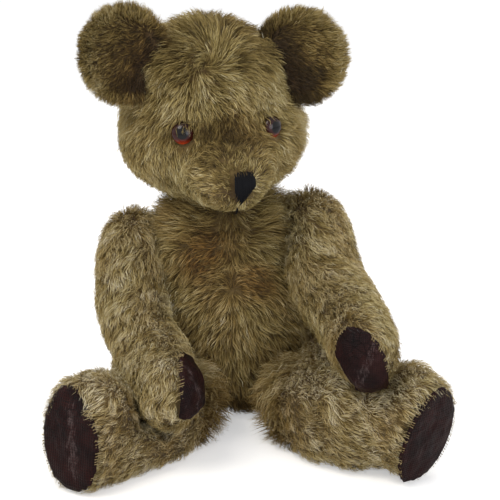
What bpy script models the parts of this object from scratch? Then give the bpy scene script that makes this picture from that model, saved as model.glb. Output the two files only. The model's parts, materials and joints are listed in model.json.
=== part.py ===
"""A disc-jointed mohair teddy bear, seated on the floor with its paws on its legs.

Every piece is its own solid: cloth covers, their stuffing, ears, glass eyes, oilcloth pads, nose
stitching, and the discs, washers and cotter pins of the neck, shoulder and hip joints. The bear
faces -Y with +Z up, so its own left side is +X. Metres.
"""

import math

import bmesh
import bpy
import numpy as np
from mathutils import Matrix, Vector
from mathutils.bvhtree import BVHTree

# Cloth and clearances
CLOTH = 0.0030          # mohair cloth with the packed foot of its pile
OILCLOTH = 0.0013       # coated cotton of the pads
STITCHES = 0.0020       # height of the nose embroidery
GAP = 0.0003            # clearance between pieces that touch
SLACK = 0.0004          # clearance between a cover and its stuffing
PAD_GAP = 0.0005        # clearance under a pad or the nose's stitches

# How finely each body is drawn: rings and points in a ring
TORSO_GRID = (14, 24)
HEAD_GRID = (18, 26)
ARM_GRID = (12, 16)
LEG_GRID = (15, 20)

# Joint hardware
DISC_THICK = 0.0030
WASHER_RADIUS = 0.0060
WASHER_THICK = 0.0010
PIN_HOLE = 0.0026
WIRE = 0.0008           # radius of the cotter pin's wire
LEG_SPREAD = 0.0010     # from the pin's axis to the middle of each wire
EYE_LOOP = 0.0032       # radius of the pin's eye
CURL = 0.0030           # radius of the pin's curled ends
PIN_ROOM = 0.0105       # depth of the pocket that a pin's end needs beyond the washer
CURL_ROOM = 0.0092      # radius of that pocket

# Pose: the body leans towards its right side, and the head is turned to its left
LEAN = 7.0
HEAD_TURN = 19.0

# Joint centres; a disc's radius goes with its joint
NECK = np.array((-0.027, 0.004, 0.188))
NECK_DISC = 0.0215
SHOULDERS = np.array((-0.018, 0.006, 0.146))
SHOULDER_REACH = 0.0525
SHOULDER_RISE = 6.0
SHOULDER_TURN = -5.0
SHOULDER_DISC = 0.0170
HIPS = np.array((0.000, 0.008, 0.046))
HIP_REACH = 0.0450
HIP_TURN = 10.0
HIP_DISC = 0.0200

# Torso, ring by ring: height, half width, half depth, middle of the ring in Y
TORSO_RINGS = np.array((
    (-0.008, 0.044, 0.044, 0.008),
    (0.020, 0.052, 0.050, 0.006),
    (0.050, 0.060, 0.057, 0.003),
    (0.085, 0.067, 0.061, 0.000),
    (0.120, 0.064, 0.057, 0.000),
    (0.155, 0.057, 0.050, 0.002),
    (0.185, 0.046, 0.042, 0.004),
    (0.202, 0.040, 0.036, 0.004),
))
TORSO_CAPS = (0.050, 0.045)

# Room that the legs leave for the body around each hip, and how far they reach in beyond it
HIP_CLEAR = 0.050
HIP_WRAP = {"left": 0.078, "right": 0.092}
HIP_BULGE = 0.060
HIP_SLOPE = 2.0
THIGH_REACH = 0.042
THIGH_TOP = (0.052, 0.074)      # heights over which the thigh stops reaching in
HIP_ROOM = 0.0006
BELLY_ROOM = 0.0034
BELLY_LOW = 0.030       # below this the thighs leave the body the room that it needs here

# The way in which each resting arm presses its leg, and the room between the two
PRESS = {"left": (0.35, 0.15, -0.92), "right": (-0.15, 0.35, -0.95)}
ARM_ROOM = 0.0076
CHIN_ROOM = 0.0014      # below the turning chin
PRESS_REACH = 0.060

# Head, from the middle of the skull
HEAD = np.array((-0.030, -0.006, 0.248))
SKULL = ((0.0, 0.008, 0.014), (0.069, 0.066, 0.070))
CHEEKS = ((0.0, -0.003, -0.014), (0.073, 0.056, 0.046))
SNOUT_TILT = 25.0
SNOUT_LENGTH = 0.034
SNOUT_SPREAD = (29.0, 26.0)     # half its angle across and up, degrees
EYE_RADIUS = 0.0082
EYE_HEIGHT = 0.0062
EYE_AT = (0.0375, 0.004)
EYE_SET = 0.0022         # how far the glass sits back in the cloth
LENS = ((0, -0.0018), (0.55, -0.0015), (0.9, -0.0006), (1.0, 0.0010), (0.92, 0.0030), (0.70, 0.0048),
        (0.38, 0.0058), (0, EYE_HEIGHT))    # share of the radius, height
SHANK_WIRE = 0.0006      # radius of the wire behind the glass
SHANK_RING = 0.0026      # radius of its closed end
SHANK_LEG = 0.0040       # length of its straight leg
SHANK_HOLE = 0.0019      # radius of the hole for it in the cloth
SHANK_ROOM = 0.0055      # radius of the hollow for it in the stuffing
EARS = {"left": (0.0725, -0.011, 0.0510), "right": (0.0750, -0.011, 0.0600)}
EAR_RADIUS = 0.0370
EAR_THICK = 0.0080
EAR_CUP = 0.0150        # how far the rim stands forward of the middle
EAR_RISE = (0.62, 0.10, 0.78)       # the way that an ear stands up from the head, for the left one
EAR_FRONT = (-0.22, -1.0, 0.10)     # the way that its hollow faces
NOSE = ((-0.0085, 0.0125), (-0.0045, 0.0138), (0.0045, 0.0138), (0.0085, 0.0125), (0.0092, 0.0040),
        (0.0068, -0.0060), (0.0020, -0.0125), (-0.0030, -0.0135), (-0.0075, -0.0060), (-0.0092, 0.0040))
NOSE_AT = (0.0, -0.080, -0.035)     # from the head's middle
MOUTH = ((-0.0009, 0.0035), (0.0009, 0.0035), (0.0012, -0.0035), (-0.0006, -0.0035))
MOUTH_AT = (-0.0045, -0.080, -0.0535)
MOUTH_THICK = 0.0010
FACE_DEPTH = 0.018       # how deep the embroidery's outlines reach into the head

# Pads
PAW_PAD = (0.0265, 0.0162)
SOLE_PAD = (0.0400, 0.0262)
PAW_DEPTH = 0.022       # how far round the paw its pad may follow
# Per arm: how far along it the pad's middle is, how far the pad turns to the tip in degrees, its slant, and
# how far the pad turns ahead
PAW_PAD_SET = {"left": (0.176, 38.0, 0.30, 0.0), "right": (0.168, 4.0, -0.12, 16.0)}
SOLE_DEPTH = 0.007


def unit(vector):
    vector = np.asarray(vector, float)
    return vector / np.linalg.norm(vector)


def outward(side, turn, rise):
    """A unit vector out of one side of the body, turned back and raised by angles in degrees."""
    turn, rise = math.radians(turn), math.radians(rise)
    return np.array((side * math.cos(rise) * math.cos(turn), math.cos(rise) * math.sin(turn), math.sin(rise)))


def through(knots, values):
    """A smooth function through hand-set values at the knots."""
    knots, values = np.array(knots, float), np.array(values, float)
    slopes = np.gradient(values, knots, axis=0)

    def at(where):
        where = np.clip(where, knots[0], knots[-1])
        i = np.clip(np.searchsorted(knots, where, side="right") - 1, 0, len(knots) - 2)
        span = knots[i + 1] - knots[i]
        t = (where - knots[i]) / span
        if values.ndim > 1:
            t, span = t[:, None], span[:, None]
        return (
            (2 * t**3 - 3 * t**2 + 1) * values[i]
            + (t**3 - 2 * t**2 + t) * span * slopes[i]
            + (3 * t**2 - 2 * t**3) * values[i + 1]
            + (t**3 - t**2) * span * slopes[i + 1]
        )

    return at


# ---- Grids: a pole, rings of points, a pole ----------------------------------------------------


def tube(spine, width, height, up, caps, blunt, square=None):
    """A round-ended tube through hand-set places, each with its half width and half height.

    Returns grid(rows, columns), whose first and last rows are its poles. The two cap lengths say how
    far from its ends the tube rounds off, and square how full its section's corners are at each place.
    """
    spine = np.array(spine, float)
    knots = np.concatenate(([0.0], np.cumsum(np.linalg.norm(np.diff(spine, axis=0), axis=1))))
    spine_at, width_at, height_at = through(knots, spine), through(knots, width), through(knots, height)
    square_at = through(knots, square or [2.0] * len(knots))

    def grid(rows, columns):
        capped = max(rows // 4, 3)
        turn = np.linspace(0, math.pi / 2, capped + 1)
        rounding = np.sin(turn) ** (2 / blunt)
        drawn = 1 - np.cos(turn) ** (2 / blunt)
        middle = np.linspace(caps[0], knots[-1] - caps[1], rows - 2 * capped + 2)
        s = np.concatenate((caps[0] * drawn[:-1], middle, knots[-1] - caps[1] * drawn[-2::-1]))
        swell = np.concatenate((rounding[:-1], np.ones(len(middle)), rounding[-2::-1]))
        centre = spine_at(s)
        run = spine_at(s + 0.001) - spine_at(s - 0.001)
        run /= np.linalg.norm(run, axis=1)[:, None]
        across = np.cross(run, up)
        across /= np.linalg.norm(across, axis=1)[:, None]
        lift = np.cross(across, run)
        angle = np.arange(columns) / columns * 2 * math.pi
        full = 2 / square_at(s)[:, None]
        out, rise = (np.sign(v) * np.abs(v) ** full for v in (np.cos(angle), np.sin(angle)))
        return (
            centre[:, None]
            + ((swell * width_at(s))[:, None] * out)[..., None] * across[:, None]
            + ((swell * height_at(s))[:, None] * rise)[..., None] * lift[:, None]
        )

    return grid


def ball(radius, pole, upright):
    """A star-shaped body round the origin, its radius a function of direction, its rings round a pole."""
    pole, upright = unit(pole), unit(upright)
    side = np.cross(upright, pole)

    def grid(rows, columns):
        turn = np.linspace(0, math.pi, rows + 2)[:, None, None]
        angle = (np.arange(columns) / columns * 2 * math.pi)[None, :, None]
        direction = np.cos(turn) * pole + np.sin(turn) * (np.cos(angle) * side + np.sin(angle) * upright)
        return direction * radius(direction)[..., None]

    return grid


def sunk(points, depth):
    """The same grid, each point moved in along its normal."""
    along = np.gradient(points, axis=0)
    around = np.roll(points, -1, axis=1) - np.roll(points, 1, axis=1)
    normal = np.cross(along, around)
    normal[0], normal[-1] = normal[1].mean(axis=0), normal[-2].mean(axis=0)
    normal /= np.linalg.norm(normal, axis=2)[..., None]
    middle = points.mean(axis=(0, 1))
    if ((points - middle) * normal).sum() < 0:
        normal = -normal
    return points - depth * normal


def mesh_from(points):
    """A closed bmesh over a grid whose first and last rows are poles."""
    bm = bmesh.new()
    first = bm.verts.new(points[0].mean(axis=0))
    rings = [[bm.verts.new(p) for p in row] for row in points[1:-1]]
    last = bm.verts.new(points[-1].mean(axis=0))
    count = len(rings[0])
    for i in range(count):
        j = (i + 1) % count
        bm.faces.new((first, rings[0][i], rings[0][j]))
        bm.faces.new((last, rings[-1][j], rings[-1][i]))
        for a, b in zip(rings, rings[1:]):
            bm.faces.new((a[i], b[i], b[j], a[j]))
    bmesh.ops.triangulate(bm, faces=bm.faces[:], quad_method="FIXED")
    bmesh.ops.recalc_face_normals(bm, faces=bm.faces[:])
    return bm


# ---- Objects ----------------------------------------------------------------------------------


def material(name, colour, roughness, metallic=0.0):
    """A Principled material, its colour an sRGB hex value."""
    made = bpy.data.materials.get(name)
    if made:
        return made
    made = bpy.data.materials.new(name)
    made.use_nodes = True
    channels = [int(colour[i : i + 2], 16) / 255 for i in (0, 2, 4)]
    linear = [c / 12.92 if c <= 0.04045 else ((c + 0.055) / 1.055) ** 2.4 for c in channels]
    shader = made.node_tree.nodes["Principled BSDF"]
    shader.inputs["Base Color"].default_value = (*linear, 1)
    shader.inputs["Roughness"].default_value = roughness
    shader.inputs["Metallic"].default_value = metallic
    made.diffuse_color = (*linear, 1)
    return made


MOHAIR = ("mohair_cloth", "7A6B46", 0.9)
EAR_CLOTH = ("mohair_ear_cloth", "6A5A3A", 0.9)
KAPOK = ("kapok_stuffing", "CDBB92", 1.0)
COATED = ("oilcloth", "33201F", 0.45)
THREAD = ("nose_thread", "141416", 0.6)
GLASS = ("amber_glass", "6B2A0C", 0.1)
BOARD = ("hardboard", "7B5A38", 0.8)
STEEL = ("plated_steel", "9A9A98", 0.35, 1.0)


def solid(name, bm, look):
    """A mesh object from a bmesh, shaded smooth."""
    mesh = bpy.data.meshes.new(name)
    bm.to_mesh(mesh)
    bm.free()
    mesh.shade_smooth()
    mesh.set_sharp_from_angle(angle=math.radians(50))
    made = bpy.data.objects.new(name, mesh)
    bpy.context.scene.collection.objects.link(made)
    made.data.materials.append(material(*look))
    return made


def combined(target, operation, *tools):
    """Applies a Boolean of each tool to the target, and removes the tools."""
    for tool in tools:
        step = target.modifiers.new("cut", "BOOLEAN")
        step.operation = operation
        step.solver = "EXACT"
        step.object = tool
        bpy.context.view_layer.update()
        result = bpy.data.meshes.new_from_object(target.evaluated_get(bpy.context.evaluated_depsgraph_get()))
        target.modifiers.clear()
        old, target.data = target.data, result
        bpy.data.meshes.remove(old)
        bpy.data.objects.remove(tool)
    return target


def rod(start, axis, radius, length, sides=16):
    """A cylinder along an axis from its start, as a cutter or a blank."""
    bm = bmesh.new()
    bmesh.ops.create_cone(bm, cap_ends=True, segments=sides, radius1=radius, radius2=radius, depth=length)
    turn = Vector((0, 0, 1)).rotation_difference(Vector(axis)).to_matrix().to_4x4()
    bm.transform(Matrix.Translation(Vector(start) + Vector(axis) * length / 2) @ turn)
    return solid("rod", bm, STEEL)


def washer_ring(name, start, axis, outer, inner, thick, sides, look):
    """A flat ring along an axis from its start."""
    ring = rod(start, axis, outer, thick, sides)
    combined(ring, "DIFFERENCE", rod(start - 0.001 * axis, axis, inner, thick + 0.002, 8))
    ring.name = name
    ring.data.materials.clear()
    ring.data.materials.append(material(*look))
    return ring


def outline_prism(outline, centre, normal, upright, depth):
    """A closed prism of an outline drawn across a normal, reaching depth to both sides of it."""
    normal = unit(normal)
    side = unit(np.cross(upright, normal))
    lift = np.cross(normal, side)
    bm = bmesh.new()
    front = [bm.verts.new(centre + x * side + z * lift + depth * normal) for x, z in outline]
    back = [bm.verts.new(centre + x * side + z * lift - depth * normal) for x, z in outline]
    bm.faces.new(front)
    bm.faces.new(back[::-1])
    for i in range(len(front)):
        j = (i + 1) % len(front)
        bm.faces.new((front[i], back[i], back[j], front[j]))
    bmesh.ops.recalc_face_normals(bm, faces=bm.faces[:])
    return solid("prism", bm, COATED)


def oval(across, along, taper=0.0, sides=20):
    """An egg outline; a positive taper narrows its upper end."""
    turns = np.arange(sides) / sides * 2 * math.pi
    return [(across * math.cos(t) * (1 - taper * math.sin(t)), along * math.sin(t)) for t in turns]


# ---- Bodies of cloth: each is a function of how far it is sunk below its surface -----------------


def body_shape(grid, pressed):
    """shape(rows, columns, depth): the grid sunk by depth, then pressed flat where it meets things."""
    return lambda rows, columns, depth: pressed(sunk(grid(rows, columns), depth), depth)


def keep_beyond(points, centre, axis, limit):
    """Moves points out along the axis until they are at least limit beyond the centre."""
    height = (points - centre) @ axis
    return points + np.maximum(limit - height, 0)[..., None] * axis


def flat_on_floor(points, depth):
    points = points.copy()
    points[..., 2] = np.maximum(points[..., 2], depth)
    return points


def pushed_out(points, shape, fine, room, way):
    """Moves points along a way until they are clear of another body by some room."""
    mesh = mesh_from(shape(*fine, -room))
    tree = BVHTree.FromBMesh(mesh)
    mesh.free()
    way = Vector(unit(way))
    flat = points.reshape(-1, 3).copy()
    for i, point in enumerate(flat):
        beyond = Vector(point) + PRESS_REACH * way
        place, _, _, distance = tree.ray_cast(beyond, -way)
        if place and distance < PRESS_REACH:
            flat[i] = place
    return flat.reshape(points.shape)


def cover_and_stuffing(name, shape, fine, coarse, joints):
    """The hollow cloth cover and the stuffing of one body, with room for the hardware of its joints.

    Each joint is (centre on the cloth, direction into the body, disc radius).
    """
    cover = solid(name + "_cover", mesh_from(shape(*fine, 0)), MOHAIR)
    combined(cover, "DIFFERENCE", solid("inside", mesh_from(shape(*coarse, CLOTH)), KAPOK))
    stuffing = solid(name + "_stuffing", mesh_from(shape(*coarse, CLOTH + SLACK)), KAPOK)
    for centre, inward, disc in joints:
        start = centre + CLOTH * inward
        depth = DISC_THICK + WASHER_THICK + 3 * GAP
        combined(
            cover, "DIFFERENCE",
            rod(centre - 0.004 * inward, inward, PIN_HOLE, 0.012, 8),
            rod(start, inward, disc + 0.0008, depth),
        )
        combined(
            stuffing, "DIFFERENCE",
            rod(start - 0.006 * inward, inward, disc + 0.0010, 0.006 + depth),
            rod(start, inward, CURL_ROOM, depth + PIN_ROOM, 12),
        )
    cloth = solid("cloth", mesh_from(shape(*fine, -GAP)), MOHAIR)
    combined(cloth, "DIFFERENCE", solid("inside", mesh_from(shape(*coarse, CLOTH)), KAPOK))
    combined(stuffing, "DIFFERENCE", cloth)
    return cover, stuffing


def patch(name, shape, fine, outline, centre, normal, upright, reach, thick, look):
    """A sewn-on piece that follows a body's surface inside an outline."""
    piece = solid(name, mesh_from(shape(*fine, -PAD_GAP - thick)), look)
    combined(piece, "INTERSECT", outline_prism(outline, centre, normal, upright, reach))
    combined(piece, "DIFFERENCE", solid("bed", mesh_from(shape(*fine, -PAD_GAP)), look))
    return piece


# ---- Joint hardware ----------------------------------------------------------------------------


def joint_hardware(joint, limb, centre, axis, disc):
    """Two hardboard discs, two washers and a cotter pin; returns (on the limb, on the body)."""
    made = {}
    for owner, way in ((limb, 1), ("torso", -1)):
        inward = way * axis
        start = centre + (GAP / 2 + CLOTH + GAP) * inward
        names = (f"{joint}_disc_{owner}", f"{joint}_washer_{owner}")
        board = washer_ring(names[0], start, inward, disc, PIN_HOLE, DISC_THICK, 16, BOARD)
        start = start + (DISC_THICK + GAP) * inward
        washer = washer_ring(names[1], start, inward, WASHER_RADIUS, PIN_HOLE, WASHER_THICK, 12, STEEL)
        made[owner] = [board, washer]
    made[limb].append(cotter_pin(joint + "_pin", centre, axis))
    return made[limb], made["torso"]


def bent_wire(name, radius, route, start, side, axis):
    """A round wire bent in one plane: each bend is so far to the side, and so far along the axis."""
    wire = bpy.data.curves.new(name, "CURVE")
    wire.dimensions = "3D"
    wire.bevel_depth = radius
    wire.bevel_resolution = 1
    wire.use_fill_caps = True
    line = wire.splines.new("POLY")
    line.points.add(len(route) - 1)
    for point, (x, h) in zip(line.points, route):
        point.co = (*(start + x * side + h * axis), 1)
    made = bpy.data.objects.new(name, wire)
    bpy.context.scene.collection.objects.link(made)
    made.data.materials.append(material(*STEEL))
    return made


def cotter_pin(name, centre, axis):
    """One bent wire: an eye on the limb's side, two legs, and ends curled out against the washer."""
    top = GAP / 2 + CLOTH + DISC_THICK + WASHER_THICK + 3 * GAP + WIRE
    arc = np.linspace(0, -math.pi, 5)
    curl = [(LEG_SPREAD + CURL + CURL * math.cos(t), -top + CURL * math.sin(t)) for t in arc]
    open_half = math.asin(LEG_SPREAD / EYE_LOOP)
    turn = np.linspace(open_half - math.pi / 2, 1.5 * math.pi - open_half, 9)
    middle = top + EYE_LOOP
    eye = [(EYE_LOOP * math.cos(t), middle + EYE_LOOP * math.sin(t)) for t in turn]
    route = curl + eye + [(-x, h) for x, h in reversed(curl)]
    return bent_wire(name, WIRE, route, centre, unit(np.cross(axis, (0.0, 1.0, 0.0))), axis)


# ---- Torso -------------------------------------------------------------------------------------


def joint_points():
    """Centre and outward axis of each joint, by name."""
    lean = math.radians(LEAN)
    joints = {"neck": (NECK, np.array((0.0, 0.0, 1.0)))}
    for word, side in (("left", 1), ("right", -1)):
        line = np.array((side * math.cos(lean), 0, side * math.sin(lean)))
        axis = outward(side, SHOULDER_TURN, SHOULDER_RISE + side * LEAN)
        joints["shoulder_" + word] = (SHOULDERS + SHOULDER_REACH * line, axis)
        joints["hip_" + word] = (HIPS + np.array((side * HIP_REACH, 0, 0)), outward(side, HIP_TURN, 0))
    return joints


def torso_middle(height):
    """How far the leaning body has gone sideways at a height."""
    return -0.024 * (np.maximum(height, 0) / 0.19) ** 1.3


def torso_shape(joints):
    height, width, depth, middle = TORSO_RINGS.T
    spine = np.stack((torso_middle(height), middle, height), axis=1)
    grid = tube(spine, width, depth, (0.0, 1.0, 0.0), TORSO_CAPS, 2.4)

    def pressed(points, sink):
        points = flat_on_floor(points, sink)
        for name, (centre, axis) in joints.items():
            limit = GAP / 2 + sink
            if name.startswith("hip"):
                away = points - centre
                away = np.linalg.norm(away - (away @ axis)[..., None] * axis, axis=-1)
                limit = limit - HIP_SLOPE * np.maximum(away - HIP_BULGE, 0)
            points = keep_beyond(points, centre, -axis, limit)
        return points

    return body_shape(grid, pressed)


def make_torso(joints):
    discs = {"neck": NECK_DISC, "shoulder": SHOULDER_DISC, "hip": HIP_DISC}
    sockets = [
        (centre - GAP / 2 * axis, -axis, discs[name.split("_")[0]]) for name, (centre, axis) in joints.items()
    ]
    return list(cover_and_stuffing("torso", torso_shape(joints), TORSO_GRID, TORSO_GRID, sockets))


# ---- Head --------------------------------------------------------------------------------------


def head_turn():
    return np.array(Matrix.Rotation(math.radians(HEAD_TURN), 3, "Z"))


def head_radius(direction):
    """Skull and cheeks blended, with the snout swelling out of the face."""
    far = 0
    for middle, radii in (SKULL, CHEEKS):
        d, c = direction / np.array(radii), np.array(middle) / np.array(radii)
        a, b = (d * d).sum(-1), (d * c).sum(-1)
        far = far + ((b + np.sqrt(b * b - a * ((c * c).sum() - 1))) / a) ** 9
    tilt = math.radians(SNOUT_TILT)
    ahead = np.array((0, -math.cos(tilt), -math.sin(tilt)))
    lift = np.array((0, -math.sin(tilt), math.cos(tilt)))
    forward = np.maximum(direction @ ahead, 1e-3)
    across = np.degrees(np.arctan2(np.abs(direction[..., 0]), forward)) / SNOUT_SPREAD[0]
    up = np.degrees(np.arctan2(np.abs(direction @ lift), forward)) / SNOUT_SPREAD[1]
    return far ** (1 / 9) + SNOUT_LENGTH * np.exp(-((across**2 + up**2) ** 1.25))


def head_shape():
    grid = ball(head_radius, (0, -1, -0.35), (0, 0, 1))
    turn = head_turn()

    def pressed(points, sink):
        return keep_beyond(points @ turn.T + HEAD, NECK, np.array((0.0, 0.0, 1.0)), GAP / 2 + sink)

    return body_shape(grid, pressed)


def face_point(across, up, cover):
    """Where the face's surface lies, and its normal, at a place seen from straight in front."""
    turn = head_turn()
    mesh = bmesh.new()
    mesh.from_mesh(cover.data)
    tree = BVHTree.FromBMesh(mesh)
    start = turn @ np.array((across, -0.2, up)) + HEAD
    place, normal, _, _ = tree.ray_cast(Vector(start), Vector(turn @ np.array((0.0, 1.0, 0.0))))
    mesh.free()
    return np.array(place), np.array(normal)


def make_eye(word, side, cover, stuffing):
    """A domed glass button with a wire shank through the cover, seated in the cloth."""
    place, normal = face_point(side * EYE_AT[0], EYE_AT[1], cover)
    facing = unit(normal + unit(head_turn() @ np.array((side * 0.25, -1.0, 0.0))))
    base = place - EYE_SET * facing

    def lens(grow):
        turns = np.arange(16) / 16 * 2 * math.pi
        rows = [[(r * (EYE_RADIUS + grow) * math.cos(t), r * (EYE_RADIUS + grow) * math.sin(t),
                  h + math.copysign(grow, h)) for t in turns] for r, h in LENS]
        return mesh_from(np.array(rows))

    turn = Vector((0, 0, 1)).rotation_difference(Vector(facing)).to_matrix().to_4x4()
    move = Matrix.Translation(Vector(base)) @ turn
    eye = solid("eye_" + word, lens(0), GLASS)
    beds = [solid("bed", lens(GAP), GLASS), solid("bed", lens(2 * GAP), GLASS)]
    for part in (eye, *beds):
        part.data.transform(move)
    combined(cover, "DIFFERENCE", beds[0], rod(base - 0.012 * facing, facing, SHANK_HOLE, 0.012, 8))
    combined(stuffing, "DIFFERENCE", beds[1], rod(base - 0.016 * facing, facing, SHANK_ROOM, 0.020, 10))
    shank = eye_shank("eye_shank_" + word, base + (LENS[0][1] - GAP) * facing, -facing)
    return [eye, shank]


def eye_shank(name, start, axis):
    """The wire loop behind a glass eye: one straight leg and a closed ring."""
    turns = np.linspace(0, 2 * math.pi * 0.92, 10)[1:]
    closed = [(SHANK_RING * math.sin(t), SHANK_LEG + SHANK_RING * (1 - math.cos(t)) + SHANK_WIRE) for t in turns]
    route = [(0, SHANK_WIRE), (0, SHANK_LEG), *closed]
    return bent_wire(name, SHANK_WIRE, route, start, unit(np.cross(axis, (0.0, 0.0, 1.0))), axis)


def make_ear(word, side, shape, fine):
    """A cupped round of doubled cloth, sewn down where it meets the head."""
    across, ahead, up = EARS[word]
    middle = np.array((side * across, ahead, up))
    mirror = np.array((side, 1, 1))
    rise = unit(mirror * EAR_RISE)
    front = mirror * EAR_FRONT
    front = unit(front - rise * (front @ rise))
    along = np.cross(front, rise)
    reach = np.concatenate((np.linspace(0, 1, 8) ** 0.8, np.linspace(1, 0, 8)[1:] ** 0.8))
    way = np.concatenate((np.ones(8), -np.ones(7)))
    rows = []
    for r, face in zip(reach, way):
        turns = np.arange(20) / 20 * 2 * math.pi
        out = EAR_RADIUS * r * (np.cos(turns)[:, None] * along + np.sin(turns)[:, None] * rise)
        cup = EAR_CUP * r**2.4 * (0.75 + 0.25 * np.sin(turns))
        thick = face * EAR_THICK / 2 * math.sqrt(max(1 - r**4, 0))
        rows.append(middle + out + (cup + thick)[:, None] * front)
    bm = mesh_from(np.array(rows))
    bm.transform(Matrix.Translation(Vector(HEAD)) @ Matrix.Rotation(math.radians(HEAD_TURN), 4, "Z"))
    ear = solid("ear_" + word, bm, EAR_CLOTH)
    return combined(ear, "DIFFERENCE", solid("bed", mesh_from(shape(*fine, -GAP)), EAR_CLOTH))


def make_head(joints):
    fine = HEAD_GRID
    shape = head_shape()
    centre, axis = joints["neck"]
    cover, stuffing = cover_and_stuffing("head", shape, fine, (10, 14), [(centre + GAP / 2 * axis, axis, NECK_DISC)])
    turn = head_turn()
    facing = turn @ np.array((0.0, -1.0, 0.0))
    made = [cover, stuffing]
    for name, outline, place, thick in (("nose_stitching", NOSE, NOSE_AT, STITCHES),
                                        ("mouth_stitch", MOUTH, MOUTH_AT, MOUTH_THICK)):
        at = turn @ np.array(place) + HEAD
        made.append(patch(name, shape, fine, outline, at, facing, (0, 0, 1), FACE_DEPTH, thick, THREAD))
    for word, side in (("left", 1), ("right", -1)):
        made.append(make_ear(word, side, shape, fine))
        made += make_eye(word, side, cover, stuffing)
    return made


# ---- Arms --------------------------------------------------------------------------------------

# Per arm: swing from hanging straight down, how far the elbow and the paw stand out of the joint's
# plane, and how far the pad is rolled from the body's side towards the front; degrees and metres
ARM_POSES = {"left": (65.0, 0.002, 0.036, 92.0), "right": (61.0, 0.000, -0.026, 26.0)}
ARM_LENGTH = 0.188


def arm_frame(word, joints):
    """Along, forward-up and outward unit vectors of an arm at rest."""
    axis = joints["shoulder_" + word][1]
    down = unit(np.array((0.0, 0.0, -1.0)) - axis * -axis[2])
    front = unit(np.array((0.0, -1.0, 0.0)) - axis * -axis[1])
    front = unit(front - down * (front @ down))
    swing = math.radians(ARM_POSES[word][0])
    along = math.cos(swing) * down + math.sin(swing) * front
    ahead = math.cos(swing) * front - math.sin(swing) * down
    return along, ahead, axis


def arm_shape(word, joints):
    centre, axis = joints["shoulder_" + word]
    along, ahead, _ = arm_frame(word, joints)
    _, elbow, paw, _ = ARM_POSES[word]
    places = ((-0.036, 0.0, 0.024), (0.012, -0.002, 0.026), (0.060, -0.010, 0.027 + elbow),
              (0.110, -0.007, 0.028 + elbow / 2 + paw / 2), (0.154, 0.004, 0.026 + paw * 0.85),
              (ARM_LENGTH + 0.008, 0.013, 0.024 + paw))
    spine = [centre + x * along + y * ahead + h * axis for x, y, h in places]
    width = (0.038, 0.0385, 0.0370, 0.0320, 0.0310, 0.0300)
    height = (0.028, 0.0300, 0.0300, 0.0275, 0.0265, 0.0260)
    grid = tube(spine, width, height, tuple(axis), (0.044, 0.028), 2.1)

    def pressed(points, sink):
        away = points - centre
        away = np.linalg.norm(away - (away @ axis)[..., None] * axis, axis=-1)
        limit = GAP / 2 + sink - 0.5 * np.maximum(away - 0.085, 0)
        points = keep_beyond(points, centre, axis, limit)
        points[..., 2] = np.minimum(points[..., 2], NECK[2] - CHIN_ROOM - sink)
        return points

    return body_shape(grid, pressed)


def make_arm(word, joints):
    centre, axis = joints["shoulder_" + word]
    along, ahead, _ = arm_frame(word, joints)
    _, _, paw, roll = ARM_POSES[word]
    reach, tip, slant, turn = PAW_PAD_SET[word]
    shape, fine = arm_shape(word, joints), ARM_GRID
    inner = [(centre + GAP / 2 * axis, axis, SHOULDER_DISC)]
    made = list(cover_and_stuffing(f"arm_{word}", shape, fine, fine, inner))
    roll = math.radians(roll + turn)
    normal = -math.cos(roll) * axis + math.sin(roll) * ahead
    normal = math.cos(math.radians(tip)) * normal + math.sin(math.radians(tip)) * along
    at = centre + reach * along + 0.004 * ahead + (0.026 + paw * 0.8) * axis + 0.020 * normal
    upright = unit(along + slant * axis)
    pad = patch(f"paw_pad_{word}", shape, fine, oval(*PAW_PAD[::-1]), at, normal, upright,
                PAW_DEPTH, OILCLOTH, COATED)
    return made + [pad]


# ---- Legs --------------------------------------------------------------------------------------

# Per leg: direction of the foot from straight ahead, how far it leans back at the toes, and how far
# its toes roll outward, in degrees; then the middles of the sole, the shin and the knee
LEG_POSES = {
    "left": (41.0, -12.0, 10.0, (0.137, -0.166, 0.0405), (0.0780, -0.1120, 0.0350), (0.0590, -0.0700, 0.0360)),
    "right": (35.0, 8.0, 10.0, (-0.129, -0.179, 0.0430), (-0.0790, -0.1135, 0.0370), (-0.0660, -0.0660, 0.0370)),
}


def foot_frame(word):
    """Facing, toe-ward and sideways unit vectors of a sole."""
    side = 1 if word == "left" else -1
    splay, lean, roll, *_ = LEG_POSES[word]
    turn = (
        Matrix.Rotation(side * math.radians(splay), 3, "Z")
        @ Matrix.Rotation(-math.radians(lean), 3, "X")
        @ Matrix.Rotation(side * math.radians(roll), 3, "Y")
    )
    turn = np.array(turn)
    return turn @ np.array((0.0, -1.0, 0.0)), turn @ np.array((0.0, 0.0, 1.0)), turn @ np.array((1.0, 0.0, 0.0))


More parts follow.
